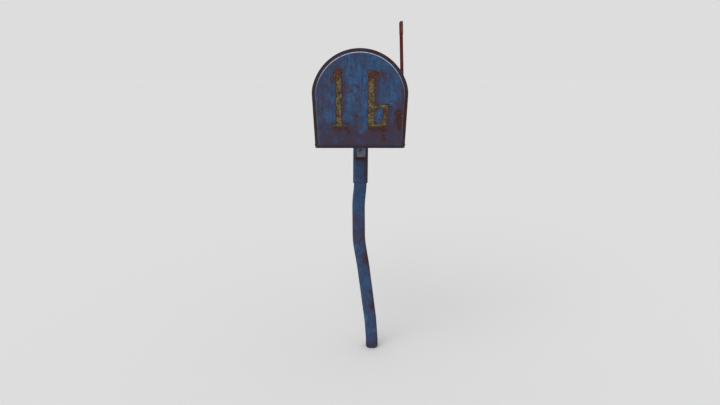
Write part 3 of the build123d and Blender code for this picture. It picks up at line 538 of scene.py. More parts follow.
def dipped_zinc(name):
    """Hot-dip galvanised steel gone dull: soft blue-grey spangle, white bloom, a few rust runs."""
    colours = bpy.context.scene.paint_colours
    material, tree, where = start(name, (0.7, 2.3, 0.2))
    # Spangle crystals are 7 mm across; runs are narrow and follow the height.
    spangle = add(tree, CELLS, Vector=where, Scale=140.0)
    shade = add(tree, RANGE, Value=spangle.outputs["Color"], To_Min=0.1, To_Max=0.8)
    running = add(tree, MAPPING, Vector=where, Scale=(1.0, 1.0, 0.25))
    runs = add(tree, NOISE, Vector=running, Scale=110.0, Detail=8.0, Roughness=0.7, Distortion=0.5)
    rusty = add(tree, RANGE, EASED, Value=runs, From_Min=0.55, From_Max=0.70)
    base = add(tree, MIX, COLOURS, i0=shade, i6=rgba(colours.dark_zinc), i7=rgba(colours.zinc))
    final = add(tree, MIX, COLOURS, i0=rusty, i6=base, i7=rgba(colours.rust))
    rough = add(tree, RANGE, Value=shade, To_Min=0.5, To_Max=0.72)
    bump = add(tree, BUMP, Strength=0.3, Distance=0.0003, Height=runs)
    add(tree, OUTPUT, Surface=add(tree, PRINCIPLED, Base_Color=final, Roughness=rough, Normal=bump,
                                  Metallic=0.35))
    return material


def plated_steel(name, tone, rust_share):
    """Turned steel with thin zinc plating: dull silver heads, tarnished, pitted with brown rust."""
    colours = bpy.context.scene.paint_colours
    material, tree, where = start(name, (1.9, 0.3, 0.8))
    # Tarnish changes over 5 mm; pits are 2 mm.
    tarnish = add(tree, NOISE, Vector=where, Scale=200.0, Detail=4.0, Roughness=0.6)
    pits = add(tree, NOISE, Vector=where, Scale=450.0, Detail=7.0, Roughness=0.7)
    dull = add(tree, RANGE, Value=tarnish, From_Min=0.3, From_Max=0.7)
    rusty = add(tree, RANGE, EASED, Value=pits, From_Min=0.62 - rust_share,
                From_Max=0.72 - rust_share)
    base = add(tree, MIX, COLOURS, i0=dull, i6=rgba(tone), i7=rgba(colours.tarnish))
    final = add(tree, MIX, COLOURS, i0=rusty, i6=base, i7=rgba(colours.rust))
    rough = add(tree, RANGE, Value=rusty, To_Min=0.4, To_Max=0.88)
    bump = add(tree, BUMP, Strength=0.35, Distance=0.0002, Height=pits)
    add(tree, OUTPUT, Surface=add(tree, PRINCIPLED, Base_Color=final, Roughness=rough, Normal=bump,
                                  Metallic=0.6))
    return material


def weathered_pine(name):
    """Sawn softwood gone grey outdoors: growth rings run along it, crossed by dark checks."""
    colours = bpy.context.scene.paint_colours
    material, tree, where = start(name)
    lengthwise = add(tree, MAPPING, Vector=where, Scale=(1.0, 0.05, 1.0))
    # Rings stand about 12 mm apart across the board; fibres are about 1 mm.
    rings = add(tree, RINGS, {"wave_type": "RINGS", "rings_direction": "Y"}, Vector=lengthwise,
                Scale=26.0, Distortion=6.0, Detail=3.0, Detail_Scale=1.5)
    fibres = add(tree, NOISE, Vector=lengthwise, Scale=800.0, Detail=6.0, Roughness=0.7)
    dark = add(tree, RANGE, Value=fibres, From_Min=0.4, From_Max=0.7, To_Max=0.6)
    base = add(tree, MIX, COLOURS, i0=rings.outputs["Fac"], i6=rgba(colours.late_wood),
               i7=rgba(colours.wood))
    final = add(tree, MIX, COLOURS, i0=dark, i6=base, i7=rgba(colours.checks))
    bump = add(tree, BUMP, Strength=0.5, Distance=0.0006, Height=fibres)
    add(tree, OUTPUT, Surface=add(tree, PRINCIPLED, Base_Color=final, Normal=bump, Roughness=0.85,
                                  Specular_IOR_Level=0.25))
    return material


def dry_oil_paint(name):
    """Ochre oil paint brushed on by hand: matt, flaked off in crumbs, with rust bleeding up."""
    colours = bpy.context.scene.paint_colours
    material, tree, where = start(name, (0.4, 0.0, 0.9))
    # Tone drifts over 25 mm, rust bleeds in 13 mm patches and flakes are 6 mm.
    tone = add(tree, NOISE, Vector=where, Scale=40.0, Detail=6.0, Roughness=0.62)
    bleeding = add(tree, NOISE, Vector=where, Scale=75.0, Detail=9.0, Roughness=0.72,
                   Distortion=0.6)
    flaking = add(tree, NOISE, Vector=where, Scale=180.0, Detail=8.0, Roughness=0.76,
                  Distortion=0.4)
    drift = add(tree, RANGE, EASED, Value=tone, From_Min=0.38, From_Max=0.62)
    base = add(tree, MIX, COLOURS, i0=drift, i6=rgba(colours.figure_shade),
               i7=rgba(colours.figures))
    bleed = add(tree, ATTRIBUTE, {"attribute_name": "bleed"}).outputs["Fac"]
    bled = add(tree, MATH, WEIGHED_SUM, i0=bleed, i1=0.16, i2=bleeding)
    rusty = add(tree, RANGE, EASED, Value=bled, From_Min=0.50, From_Max=0.66)
    warm = add(tree, MIX, COLOURS, i0=rusty, i6=base, i7=rgba(colours.figure_rust))
    # Towards the figures' rims the dark flake colour is laid on more, which draws a dark outline
    # round every stroke.
    edge = add(tree, ATTRIBUTE, {"attribute_name": "edge"}).outputs["Fac"]
    lost = add(tree, MATH, WEIGHED_SUM, i0=edge, i1=0.22, i2=flaking)
    gone = add(tree, RANGE, EASED, Value=lost, From_Min=0.47, From_Max=0.60)
    final = add(tree, MIX, COLOURS, i0=gone, i6=warm, i7=rgba(colours.figure_lost))
    bump = add(tree, BUMP, {"invert": True}, Strength=0.5, Distance=0.0004, Height=gone)
    add(tree, OUTPUT, Surface=add(tree, PRINCIPLED, Base_Color=final, Normal=bump, Roughness=0.85,
                                  Specular_IOR_Level=0.2))
    return material


MATERIALS = {}


def make_materials():
    """Make every material once, under the names that the operators use.

    Each enamel is shifted to its own part of the noise, so no two pieces weather alike.
    """
    colours = bpy.context.scene.paint_colours
    blues = (colours.blue, colours.pale_blue, colours.deep_blue, colours.haze)
    reds = (colours.red, colours.bright_red, colours.deep_red, colours.flag_brown)
    MATERIALS["door"] = weathered_enamel("door_enamel_on_steel", *blues, (0.0, 0.0, 0.0))
    MATERIALS["box"] = weathered_enamel("box_enamel_on_steel", *blues, (2.0, 0.6, 1.1), 0.02)
    MATERIALS["post"] = weathered_enamel("post_enamel_on_steel", *blues, (5.2, 1.3, 0.3))
    MATERIALS["flag"] = weathered_enamel("flag_enamel_on_steel", *reds, (7.0, 3.0, 2.0), -0.08)
    MATERIALS["inside"] = primed_steel("primed_sheet_steel")
    MATERIALS["zinc"] = dipped_zinc("hot_dip_galvanised_steel")
    MATERIALS["fastener"] = plated_steel("zinc_plated_fasteners", colours.fastener, 0.12)
    MATERIALS["rivet"] = plated_steel("overpainted_rivets", colours.rivet, 0.06)
    MATERIALS["spring"] = plated_steel("tempered_spring_steel", colours.spring, 0.02)
    MATERIALS["board"] = weathered_pine("weathered_pine")
    MATERIALS["figure"] = dry_oil_paint("dry_ochre_oil_paint")


# ---------------------------------------------------------------- pieces


# House number strokes: start, end and width in millimetres, from the box's middle and bottom edge.
STROKES = (
    ((-83, 83), (-83, 305), 24),
    ((-86, 299), (-112, 264), 14),
    ((-108, 90), (-53, 93), 15),
    ((44, 83), (45, 299), 28),
    ((40, 291), (86, 284), 15),
    ((44, 92), (98, 90), 16),
    ((94, 84), (103, 172), 21),
    ((48, 160), (104, 167), 14),
)
# Rust bleeding through the figures' paint, listed as the stains below are.
BLEEDS = (
    (45, 285, 30, 30, 1.5), (-83, 292, 30, 26, 1.2), (-83, 125, 18, 14, 0.5),
    (100, 130, 16, 34, 0.7), (-83, 215, 10, 20, 0.3), (45, 180, 8, 20, 0.3),
    (-60, 92, 12, 10, 0.5),
)
# Violet-brown staining on the door, and one painted shadow: across, height, reach across, reach up
# (all mm) and strength.
STAINS_AND_SHADOW = (
    (148, 110, 36, 70, 0.9), (110, 46, 80, 40, 0.8), (40, 45, 60, 30, 0.7),
    (-60, 48, 60, 34, 0.8), (-36, 42, 26, 34, 0.5), (-140, 60, 60, 60, 0.5),
    (-155, 150, 34, 90, 0.55), (-140, 240, 36, 50, 0.6), (-136, 284, 18, 20, 0.4),
    (-100, 320, 40, 30, 0.4), (0, 232, 22, 46, 0.3), (75, 230, 22, 70, 0.2),
    # The patch at (-48, 225), right of the first figure, is painted shadow of that figure.
    (-15, 110, 22, 40, 0.8), (-48, 225, 16, 45, 0.5), (5, 330, 18, 16, 0.1),
    (-35, 352, 26, 18, 0.3), (60, 330, 30, 16, 0.2), (172, 240, 14, 110, 1.1),
    (-80, 352, 20, 16, 0.4), (-95, 12, 80, 12, 0.9), (60, 12, 100, 12, 0.8),
)
# Dark oxide on the door, listed the same way.
RUSTS = (
    (150, 122, 20, 40, 1.0), (157, 80, 12, 30, 0.6), (60, 74, 26, 10, 0.9), (92, 52, 14, 26, 0.7),
    (-66, 74, 34, 10, 0.8), (-40, 52, 12, 18, 0.6), (30, 118, 8, 36, 0.5), (-14, 128, 9, 24, 0.6),
    (46, 292, 18, 26, 0.25), (8, 318, 10, 12, 0.55), (-44, 344, 8, 14, 0.5),
    (112, 285, 10, 18, 0.5), (-12, 236, 8, 24, 0.45), (-140, 148, 14, 24, 0.5),
    (-130, 300, 14, 14, 0.45), (-150, 226, 10, 20, 0.4), (66, 366, 26, 9, 1.0),
    (112, 340, 22, 16, 1.0), (-112, 338, 24, 14, 0.7), (-178, 120, 6, 50, 0.8),
    (178, 170, 6, 60, 1.0), (-20, 380, 24, 5, 0.8), (-88, 330, 12, 16, 0.4),
    (150, 190, 14, 18, 0.35), (120, 30, 40, 10, 0.4), (-90, 26, 60, 8, 0.3),
    (176, 60, 6, 60, 0.8), (-172, 40, 6, 30, 0.8),
)


def place(across, height, depth):
    """Row-frame points from distance off the box's middle, height above its bottom edge, and y."""
    return joined(BOX_X + across, depth, BOX_Z + height)


def bells(spots, across, height):
    """Strength of staining: a sum of bell curves about places listed in millimetres."""
    total = 0
    for x, z, wide, tall, strength in spots:
        total = total + strength * bell(across / MM - x, wide) * bell(height / MM - z, tall)
    return total


def stroke_distance(across, height):
    """Distance from a point on the door to the nearest stroke of the figures, below zero inside it.

    A stroke is a rectangle with slightly rounded corners. In its own frame the distance is the
    length of the overshoot past the rectangle's sides, or the nearer side's negative gap inside.
    """
    spot = joined(across, height)
    rounding = 2.5 * MM
    nearest = np.full(across.shape, 1.0)
    for start, end, width in STROKES:
        a, b = np.array(start) * MM, np.array(end) * MM
        reach = np.linalg.norm(b - a)
        along = (b - a) / reach
        from_middle = spot - (a + b) / 2
        over = joined(np.abs(from_middle @ along) - reach / 2,
                      np.abs(from_middle @ [along[1], -along[0]]) - width * MM / 2) + rounding
        gap = np.linalg.norm(np.maximum(over, 0), axis=-1) + np.minimum(over.max(-1), 0) - rounding
        nearest = np.minimum(nearest, gap)
    return nearest


def panel_depth(across, height):
    """How far the raised panel lies behind the CAD face: a small set-back plus dents going in.

    The dents fade towards the bevel with the distance from the panel's middle, measured on an
    ellipse.
    """
    shape = bpy.context.scene.box_shape
    spot = joined(across, height)
    uneven = 0.6 * ripple(spot, 0.16, 3) + 0.4 * ripple(spot, 0.06, 4)
    off_middle = np.hypot(across / (0.8 * HALF_WIDTH),
                          (height - 0.48 * BOX_HEIGHT) / (0.43 * BOX_HEIGHT))
    return SET_BACK + shape.dent * (0.5 + 0.5 * uneven) * (1 - smooth((off_middle - 0.55) / 0.45))


def build_door():
    """The door: skirt, rolled edge, plain rim, bevel and dented raised panel in one sheet.

    Each row of the grid is the tunnel outline, set in and set back along the sheet's profile. The
    profile comes forward along the skirt, turns a quarter circle, crosses the rim and eases up the
    bevel. Inside the bevel the rows are the last outline, drawn in evenly to a centre.
    """
    shape = bpy.context.scene.box_shape
    segment, t = half_steps(TUNNEL_STEPS)
    face_y, skirt_y = DOOR_LOW[1], DOOR_HIGH[1]
    edge, ease = 2.2 * MM, 1.5 * MM
    rim_end, bevel_end = shape.rim_width - ease, shape.rim_width + shape.bevel + ease
    rim_y = shape.bevel
    run, rise = quarter(edge, 6)
    climb = np.linspace(0, 1, 15)[1:]
    inset = np.concatenate([np.zeros(5), run, np.linspace(edge, rim_end, 6)[1:],
                            rim_end + (bevel_end - rim_end) * climb])
    back = np.concatenate([np.linspace(skirt_y - face_y, rim_y + edge, 6)[:-1], rim_y + edge - rise,
                           np.full(5, rim_y), rim_y - (rim_y - SET_BACK) * smooth(climb)])[:, None]
    bottom = np.where(inset < shape.rim_width, inset * shape.rim_below / shape.rim_width,
                      inset - shape.rim_width + shape.rim_below)
    corner = 1.5 * MM + 0.1 * inset
    x, z = arch_half(inset[:, None], bottom[:, None], corner[:, None], segment, t)
    # The skirt fades to a short hem along the bottom, over the corner's arc.
    skirt_share = np.select([segment == 0, segment == 1], [0.0, smooth(t)], 1.0)
    hem = rim_y + edge + 0.4 * MM
    y = face_y + np.where(back > hem, hem + (back - hem) * skirt_share, back)
    x, y, z = both_halves(x, -1), both_halves(y, 1), both_halves(z, 1)
    centre = np.array([0.0, 0.46 * BOX_HEIGHT])
    shares = np.linspace(1, 0, 56)[1:-1, None]
    x, z = rings_inward(x, centre[0], shares), rings_inward(z, centre[1], shares)
    # From the bevel's last row inwards, the depth is the dented panel's.
    panel = slice(len(inset) - 1, None)
    y = np.concatenate([y[:-1], face_y + panel_depth(x[panel], z[panel])])
    rows, columns = x.shape
    middle = place(*centre, face_y + panel_depth(*centre))
    points = np.vstack([place(x, z, y).reshape(-1, 3), middle])
    from_edge = vertex_insets(inset, len(shares), columns)
    across, height = points[:, 0] - BOX_X, points[:, 2] - BOX_Z
    # A painted shadow of the figures falls to the right of and below each stroke, away from the
    # light;
    # it darkens the door through the stain and rust values.
    beside = np.maximum(stroke_distance(across - 7 * MM, height + 5 * MM), 0)
    figure_shadow = bell(beside, bpy.context.scene.figure_shape.figure_shadow) * (from_edge > bevel_end)
    # A pale painted highlight runs along the bevel's crest, brightest round the upper half, where
    # light falls from above.
    crest_at, crest_reach = shape.rim_width + 0.55 * shape.bevel, 0.95 * MM
    above = smooth((height / BOX_HEIGHT - 0.50) / 0.45)
    highlight_strength = 0.15 * smooth(height / 0.05) + 1.15 * above
    values = {
        # The plain rim between the edge and the bevel gets dirt and painted shade, as a recess
        # beside the raised panel.
        "dirt_and_shade": 1 - smooth((from_edge - shape.rim_width + 1 * MM) / (2 * MM)),
        "crest_highlight": bell(from_edge - crest_at, crest_reach) * highlight_strength,
        "stain_and_shade": np.clip(bells(STAINS_AND_SHADOW, across, height) + 0.7 * figure_shadow, 0, 1.5),
        "rust": np.clip(bells(RUSTS, across, height) + 0.25 * figure_shadow, 0, 1),
        "wear": bell(from_edge - edge / 2, 1.5 * MM),
    }
    piece("door_skin", points, capped(rows, columns), DOOR,
          ("door", "inside"), ["door_panel"], values, wall=shape.sheet)


def build_figures():
    """The painted house number: one thin film with ragged edges, laid on the dented panel.

    A grid covers the figures. The distance to the nearest stroke, roughened by ripples, says which
    of its cells are painted, and points on the film's rim slide down that distance's slope to zero.
    """
    figure = bpy.context.scene.figure_shape
    margin = 20 * MM
    ends = np.array([end for stroke in STROKES for end in stroke[:2]]) * MM
    low, high = ends.min(0) - margin, ends.max(0) + margin
    across, height = np.meshgrid(np.arange(low[0], high[0], figure.cell),
                                 np.arange(low[1], high[1], figure.cell))
    spot = joined(across, height)
    rough = sum(share * ripple(spot, size, seed)
                for share, size, seed in ((0.55, 0.034, 20), (0.35, 0.012, 21), (0.25, 0.006, 22)))
    gap = stroke_distance(across, height) + figure.ragged * rough
    rise_z, rise_x = np.gradient(gap, figure.cell)
    cells = quads(*gap.shape, False)
    inside = (gap < 0.4 * figure.cell).ravel()[cells].all(1)
    rim = np.zeros(gap.size, bool)
    rim[cells[~inside].ravel()] = True
    slide = np.where(rim.reshape(gap.shape), np.clip(gap, -1.2 * figure.cell, 1.2 * figure.cell), 0)
    steep = np.maximum(rise_x**2 + rise_z**2, 0.25)
    across, height = across - slide * rise_x / steep, height - slide * rise_z / steep
    used, faces = np.unique(cells[inside], return_inverse=True)
    across, height, gap = across.ravel()[used], height.ravel()[used], gap.ravel()[used]
    points = place(across, height, DOOR_LOW[1] + panel_depth(across, height) - figure.film)
    values = {"edge": smooth(gap / (3.5 * MM) + 1), "bleed": bells(BLEEDS, across, height)}
    piece("painted_house_number", points, faces.reshape(-1, 4), DOOR,
          ("figure",), (), values, wall=figure.film)


def build_body():
    """The box's body: the tunnel outline carried from the mouth's rolled bead to the rear edge.

    Each row of the grid is the outline at one depth. At the mouth the rows move out along a curl of
    250 degrees, which makes the bead. Behind it they move in by the dents.
    """
    shape = bpy.context.scene.box_shape
    low, high = corners(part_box("body_shell"))
    segment, t = half_steps(TUNNEL_STEPS, 2)
    wall_inset = HALF_WIDTH - (high[0] - BOX_X) + 2 * shape.bead - 0.5 * MM
    bead_y = low[1] + shape.bead
    curl = np.linspace(math.radians(250), 0, 15)
    run_back = np.linspace(0, high[1] - bead_y, 84)[1:]
    y = np.append(bead_y - shape.bead * np.sin(curl), bead_y + run_back)[:, None]
    out = np.append(shape.bead * (1 - np.cos(curl)), np.zeros(len(run_back)))[:, None]
    # The lower edge runs round the hinge on a circle and straight back, then steps down to the
    # bottom where the door's hem no longer swings.
    hinge_round, hem_clear, hinge_height = 8.0 * MM, 19.3 * MM, HINGE[2] - BOX_Z
    back = y - HINGE[1]
    arc = hinge_height - np.sqrt(np.maximum(hinge_round**2 - np.minimum(back, 0) ** 2, 0))
    bottom = arc * (1 - smooth((back - hem_clear) / (1.5 * MM)))
    x, z = arch_half(wall_inset, bottom, 0.0, segment, t)
    wider_x, wider_z = arch_half(wall_inset - MM, bottom, 0.0, segment, t)
    bead_share = smooth((z - hinge_height - 6 * MM) / (5 * MM))
    # Dents fade out towards the mouth, the rear edge and the lower edge.
    inside = smooth((y - bead_y) / 0.05) * smooth((high[1] - y) / 0.04) * smooth((z - 0.03) / 0.08)
    move = out * bead_share - shape.dent * hollow(joined(x, z, y), 0.19, 8) * inside
    x, z = x + (wider_x - x) / MM * move, z + (wider_z - z) / MM * move
    # The half's mirror image runs up the left side to the crown; the half comes down the right.
    x, z = (np.concatenate([sign * half, half[:, -2::-1]], axis=1)
            for half, sign in ((x, -1), (z, 1)))
    rows, columns = x.shape
    share_up = z / BOX_HEIGHT
    near_end = bell(y - y.min(), 30 * MM) + bell(y.max() - y, 14 * MM)
    values = {
        "wear": np.clip(0.8 * near_end + bell(share_up, 0.03), 0, 1),
        "stain_and_shade": np.clip(0.8 * bell(share_up, 0.12) + 0.35 * bell(share_up - 0.98, 0.05), 0, 1),
    }
    piece("body_skin", place(x, z, y), quads(rows, columns, False), ROOT,
          ("box", "inside"), ["body_shell"], values, wall=shape.sheet)


def build_back():
    """The back panel: a forward flange, a rolled edge, a border and a shallow embossed middle.

    Each row of the grid is the tunnel outline, set in and set back along the sheet's profile, as on
    the door. The border is wider along the bottom, and the flange ends above the mounting board.
    """
    shape = bpy.context.scene.box_shape
    low, high = corners(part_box("back_panel"))
    segment, t = half_steps(TUNNEL_STEPS)
    base = HALF_WIDTH - (high[0] - low[0]) / 2
    emboss, border, edge, ramp = 3 * MM, 22 * MM, 1.8 * MM, 5 * MM
    face_y = high[1] - emboss
    fold_y = face_y - edge
    run, rise = quarter(edge, 6)
    climb = np.linspace(0, 1, 11)[1:]
    inset = np.concatenate([np.zeros(5), run, np.linspace(edge, border, 5)[1:],
                            border + ramp * climb])
    y = np.concatenate([np.linspace(low[1], fold_y, 6)[:-1], fold_y + rise,
                        np.full(4, face_y), face_y + (emboss - SET_BACK) * smooth(climb)])[:, None]
    wider_below = 38 * MM * smooth((inset - border) / (6 * MM) + 1)
    bottom = low[2] - BOX_Z + 0.9 * inset + wider_below
    corner = 3 * MM + 0.3 * inset
    x, z = arch_half((base + inset)[:, None], bottom[:, None], corner[:, None], segment, t)
    flange = smooth((z - 40 * MM) / (6 * MM))
    y = np.where(y < fold_y, fold_y + (y - fold_y) * flange, y)
    x, y, z = both_halves(x, -1), both_halves(y, 1), both_halves(z, 1)
    centre_z = 0.5 * BOX_HEIGHT
    shares = np.linspace(1, 0, 42)[1:-1, None]
    x, z = rings_inward(x, 0.0, shares), rings_inward(z, centre_z, shares)
    spot = joined(x[-len(shares):], z[-len(shares):])
    dents = shape.dent * hollow(spot, 0.13, 11) * smooth((1 - shares) / 0.3)
    y = np.concatenate([y, high[1] - SET_BACK - dents])
    rows, columns = x.shape
    points = np.vstack([place(x, z, y).reshape(-1, 3), place(0.0, centre_z, y[-1].mean())])
    from_edge = vertex_insets(inset, len(shares), columns)
    share_up = (points[:, 2] - BOX_Z) / BOX_HEIGHT
    from_border = from_edge - border
    values = {
        # Dirt and painted shade lie along the foot of the emboss's ramp.
        "dirt_and_shade": 0.75 * bell(from_border - 0.5 * MM, 2.2 * MM),
        # A faint pale painted highlight lies along the crest of the emboss's ramp.
        "crest_highlight": 0.22 * bell(from_border - 4.2 * MM, 1.0 * MM),
        "wear": bell(from_edge, 3 * MM) + 0.7 * bell(from_border - 4 * MM, 2 * MM),
        "stain_and_shade": np.clip(0.9 * bell(share_up, 0.18) + 0.3 * (from_border < 0), 0, 1),
    }
    piece("back_skin", points, capped(rows, columns), ROOT,
          ("box", "inside"), ["back_panel"], values, flip=True, wall=shape.sheet)


# Bends of the post, going up: height as a share of the collar's lower end, and distance to the
# side as a share of the box's.
BENDS = ((0.058, 0.0), (0.174, 0.125), (0.499, 0.708), (0.667, 1.092), (0.888, 1.117))
# Stains down the post: height (mm), reach (mm), strength on the left side and on the right.
POST_STAINS = (
    (985, 26, 0.4, 0.7), (900, 60, -0.3, 0.3), (770, 26, -0.8, -0.6), (690, 26, 0.8, 0.1),
    (606, 50, 1.05, 0.6), (545, 12, -0.4, 0.0), (482, 42, 0.3, 1.4), (380, 60, 0.0, -0.2),
    (316, 10, 0.2, 0.6), (245, 36, 0.4, 0.9), (117, 24, 0.5, 0.0), (24, 34, 0.8, 0.8),
)
# Dark oxide down the post, listed the same way.
POST_RUSTS = (
    (940, 50, 0.0, 0.6), (700, 16, 0.25, 0.0), (600, 34, 0.15, 0.1), (486, 26, 0.0, 0.55),
    (316, 8, 0.2, 0.5), (236, 22, 0.0, 0.5), (20, 14, 0.15, 0.3),
)


def post_line(height):
    """The post's centre line: straight runs between bends, each bend eased over its reach.

    The line is the average of the straight runs over a window as long as a bend, which turns each
    corner into a gentle curve. The window closes towards the collar, which is straight.
    """
    reach = bpy.context.scene.post_shape.bend_reach
    low, high = corners(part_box("socket_sleeve"))
    # The collar leans, so its CAD box is wider than its section by as much as it leans.
    deep = high[1] - low[1]
    low_x, top_x = low[0] + deep / 2, high[0] - deep / 2
    slope = (top_x - low_x) / (high[2] - low[2])
    # The last bend lies a little under the collar, and the line is carried past both of its ends.
    under, past = 17 * MM, 100 * MM
    knots = np.array([(-past, 0.0), *[(low[2] * up, BOX_X * side) for up, side in BENDS],
                      (low[2] - under, low_x - slope * under),
                      (high[2] + past, top_x + slope * past)])
    closed = np.clip((height - low[2] + under) / reach, 0, 1)
    window = np.maximum(reach * (1 - closed), 1 * MM)
    spread = np.linspace(-1, 1, 41) * window[..., None]
    return np.interp(height[..., None] + spread, *knots.T).mean(-1)


def down_post(spots, points):
    """Strength of staining on the post: bell curves up the height, weighted from left to right."""
    height = points[..., 2]
    right = smooth((points[..., 0] - post_line(height)) / 0.05 + 0.5)
    total = 0
    for z, reach, on_left, on_right in spots:
        total = total + bell(height / MM - z, reach) * (on_left * (1 - right) + on_right * right)
    return total


def cut_square(size, corner, rounding, arc_count=4, side_count=3):
    """Square with cut corners and rounded edges, as a loop of points about the middle.

    Each of the eight edges is an arc of 45 degrees about a centre that is drawn back towards the
    middle of the square; side_count extra points divide every flat.
    """
    half, near = size / 2, size / 2 - corner
    octagon = np.array([(half, -near), (half, near), (near, half), (-near, half),
                        (-half, near), (-half, -near), (-near, -half), (near, -half)])
    facing = np.radians(45.0 * np.arange(8) - 22.5)
    drawn_back = rounding / math.cos(math.pi / 8)
    centres = octagon - drawn_back * joined(np.cos(facing), np.sin(facing))
    angles = facing[:, None] + np.radians(np.linspace(-22.5, 22.5, arc_count))
    arcs = centres[:, None] + rounding * joined(np.cos(angles), np.sin(angles))
    ends, following = arcs[:, -1:], np.roll(arcs[:, :1], -1, axis=0)
    share = np.arange(1, side_count + 1)[:, None] / (side_count + 1)
    flats = ends + (following - ends) * share
    return np.concatenate([arcs, flats], axis=1).reshape(-1, 2)


def shaded_sides(ring, size, begins):
    """Painted shade on the right-hand corners of a cut square, and a little on the left-hand ones.

    On the right, the side turned from the light, it begins at a share of the half width.
    """
    reach = ring[:, 0] / (size / 2)
    return 0.75 * smooth((reach - begins) / 0.2) + 0.15 * smooth((-reach - 0.9) / 0.1)


def build_post():
    """The bent post: the cut square carried up the post's centre line, a little uneven.

    Each row of the grid is the square at one height, moved to the line and drawn in by ripples.
    """
    post = bpy.context.scene.post_shape
    low, high = corners(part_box("post_tube"))
    size = high[1] - low[1]
    ring = cut_square(size, post.corner, post.edge)
    height = np.linspace(low[2], high[2], 190)[:, None]
    # The faces stand about 30 mm from the line, which turns the ripples' depth into a share.
    depth = post.unevenness / (30 * MM) * smooth((height - low[2]) / 0.02)
    scale = 1 - depth * hollow(joined(*ring.T, height), 0.09, 15)
    points = joined(post_line(height) + ring[:, 0] * scale, ring[:, 1] * scale, height)
    on_edges = np.abs(np.abs(ring).min(1) - (size / 2 - post.corner)) < 3 * MM
    # The post's right-hand corners, turned from the light, and a little of its left-hand ones get
    # painted shade.
    values = {
        "wear": 0.45 * on_edges,
        "stain_and_shade": np.clip(0.05 + down_post(POST_STAINS, points), -0.8, 1.6),
        "rust": np.clip(down_post(POST_RUSTS, points), 0, 1),
        "dirt_and_shade": shaded_sides(ring, size, 0.66),
    }
    rows, columns = points.shape[:2]
    piece("post_skin", points, quads(rows, columns, True), ROOT,
          ("post", "inside"), ["post_tube"], values, wall=post.wall)


def build_foot():
    """The post's closed foot: the cut square shrinking along a quarter circle to a flat underside.

    After a short seam the rows shrink by the circle's run as they go down by its rise. The last
    rows lie flat on the ground and draw in towards the middle.
    """
    post = bpy.context.scene.post_shape
    low, high = corners(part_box("post_tube"))
    half = (high[1] - low[1]) / 2
    ring = cut_square(2 * half, post.corner, post.edge)
    seam, inner_rows, inmost = 0.3 * MM, 5, 0.04
    run, rise = quarter(1.0, 10)
    shrink = np.append(1, 1 - post.foot_round / half * run)
    shrink = np.append(shrink, np.linspace(shrink[-1], inmost, inner_rows + 1)[1:])[:, None]
    height = np.concatenate([[low[2]], (low[2] - seam) * (1 - rise), np.zeros(inner_rows)])[:, None]
    points = joined(shrink * ring[:, 0], shrink * ring[:, 1], height)
    rows, columns = points.shape[:2]
    stain_and_shade = np.clip(0.05 + down_post(POST_STAINS, points), 0, 1.6)
    points = np.vstack([points.reshape(-1, 3), np.zeros(3)])
    piece("foot_skin", points, capped(rows, columns), ROOT,
          ("post",), ["foot_cap"], {"stain_and_shade": np.append(stain_and_shade, 0.5)}, flip=True, wall=post.wall)


def build_collar():
    """The socket collar: a larger cut square with rounded lips, leaning with the post's top.

    Each row of the grid is the square at one height; both lips draw it in by a quarter circle.
    """
    post = bpy.context.scene.post_shape
    low, high = corners(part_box("socket_sleeve"))
    size = high[1] - low[1]
    ring = cut_square(size, post.collar_corner, post.edge)
    lip = 1.2 * MM
    run, rise = quarter(lip, 5)
    straight = np.linspace(low[2] + lip, high[2] - lip, 48)[1:-1]
    height = np.concatenate([low[2] + run, straight, high[2] - lip + rise])[:, None]
    inset = np.concatenate([lip - rise, np.zeros(len(straight)), run])[:, None]
    scale = 1 - inset / (size / 2)
    points = joined(post_line(height) + ring[:, 0] * scale, ring[:, 1] * scale, height)
    # A streak of rust crosses the front and the back under the box, darker at the front.
    streak = bell(height - (high[2] - 90 * MM), 8 * MM) * (np.abs(ring[:, 0]) < 22 * MM)
    front_streak = streak * (ring[:, 1] < 0)
    # Painted shade down the collar's right-hand side, laid into both the stain and the band values.
    side = shaded_sides(ring, size, 0.48)
    values = {
        "wear": bell(height - low[2], 6 * MM) + 0.6 * streak,
        "stain_and_shade": np.clip(0.05 + down_post(POST_STAINS, points) + 1.6 * front_streak + side, 0, 2),
        "rust": np.clip(0.6 * down_post(POST_RUSTS, points) + 0.5 * front_streak, 0, 1),
        "dirt_and_shade": 0.8 * side,
    }
    rows, columns = points.shape[:2]
    piece("collar_skin", points, quads(rows, columns, True), ROOT,
          ("post", "inside"), ["socket_sleeve"], values, wall=post.collar_wall)


def flag_axes():
    """Origin and axes of the flag: back along the box, up the arm, and out from the wall."""
    joint = JOINTS["flag_pivot"]
    out = np.array(joint["axis"], float)
    out /= np.linalg.norm(out)
    back = np.array([0.0, 1.0, 0.0])
    return np.array(joint["pos_m"], float), back, np.cross(out, back), out


# The flag's pressed trays: radii of the lower and upper corners, sheet, rolled edge and half the
# width of the notch (all mm).
TRAYS = {
    "flag_arm": (14.0, 2.5, 1.6, 2.4, 0.0),
    "flag_blade": (5.0, 5.0, 1.2, 2.0, 14.3),
}


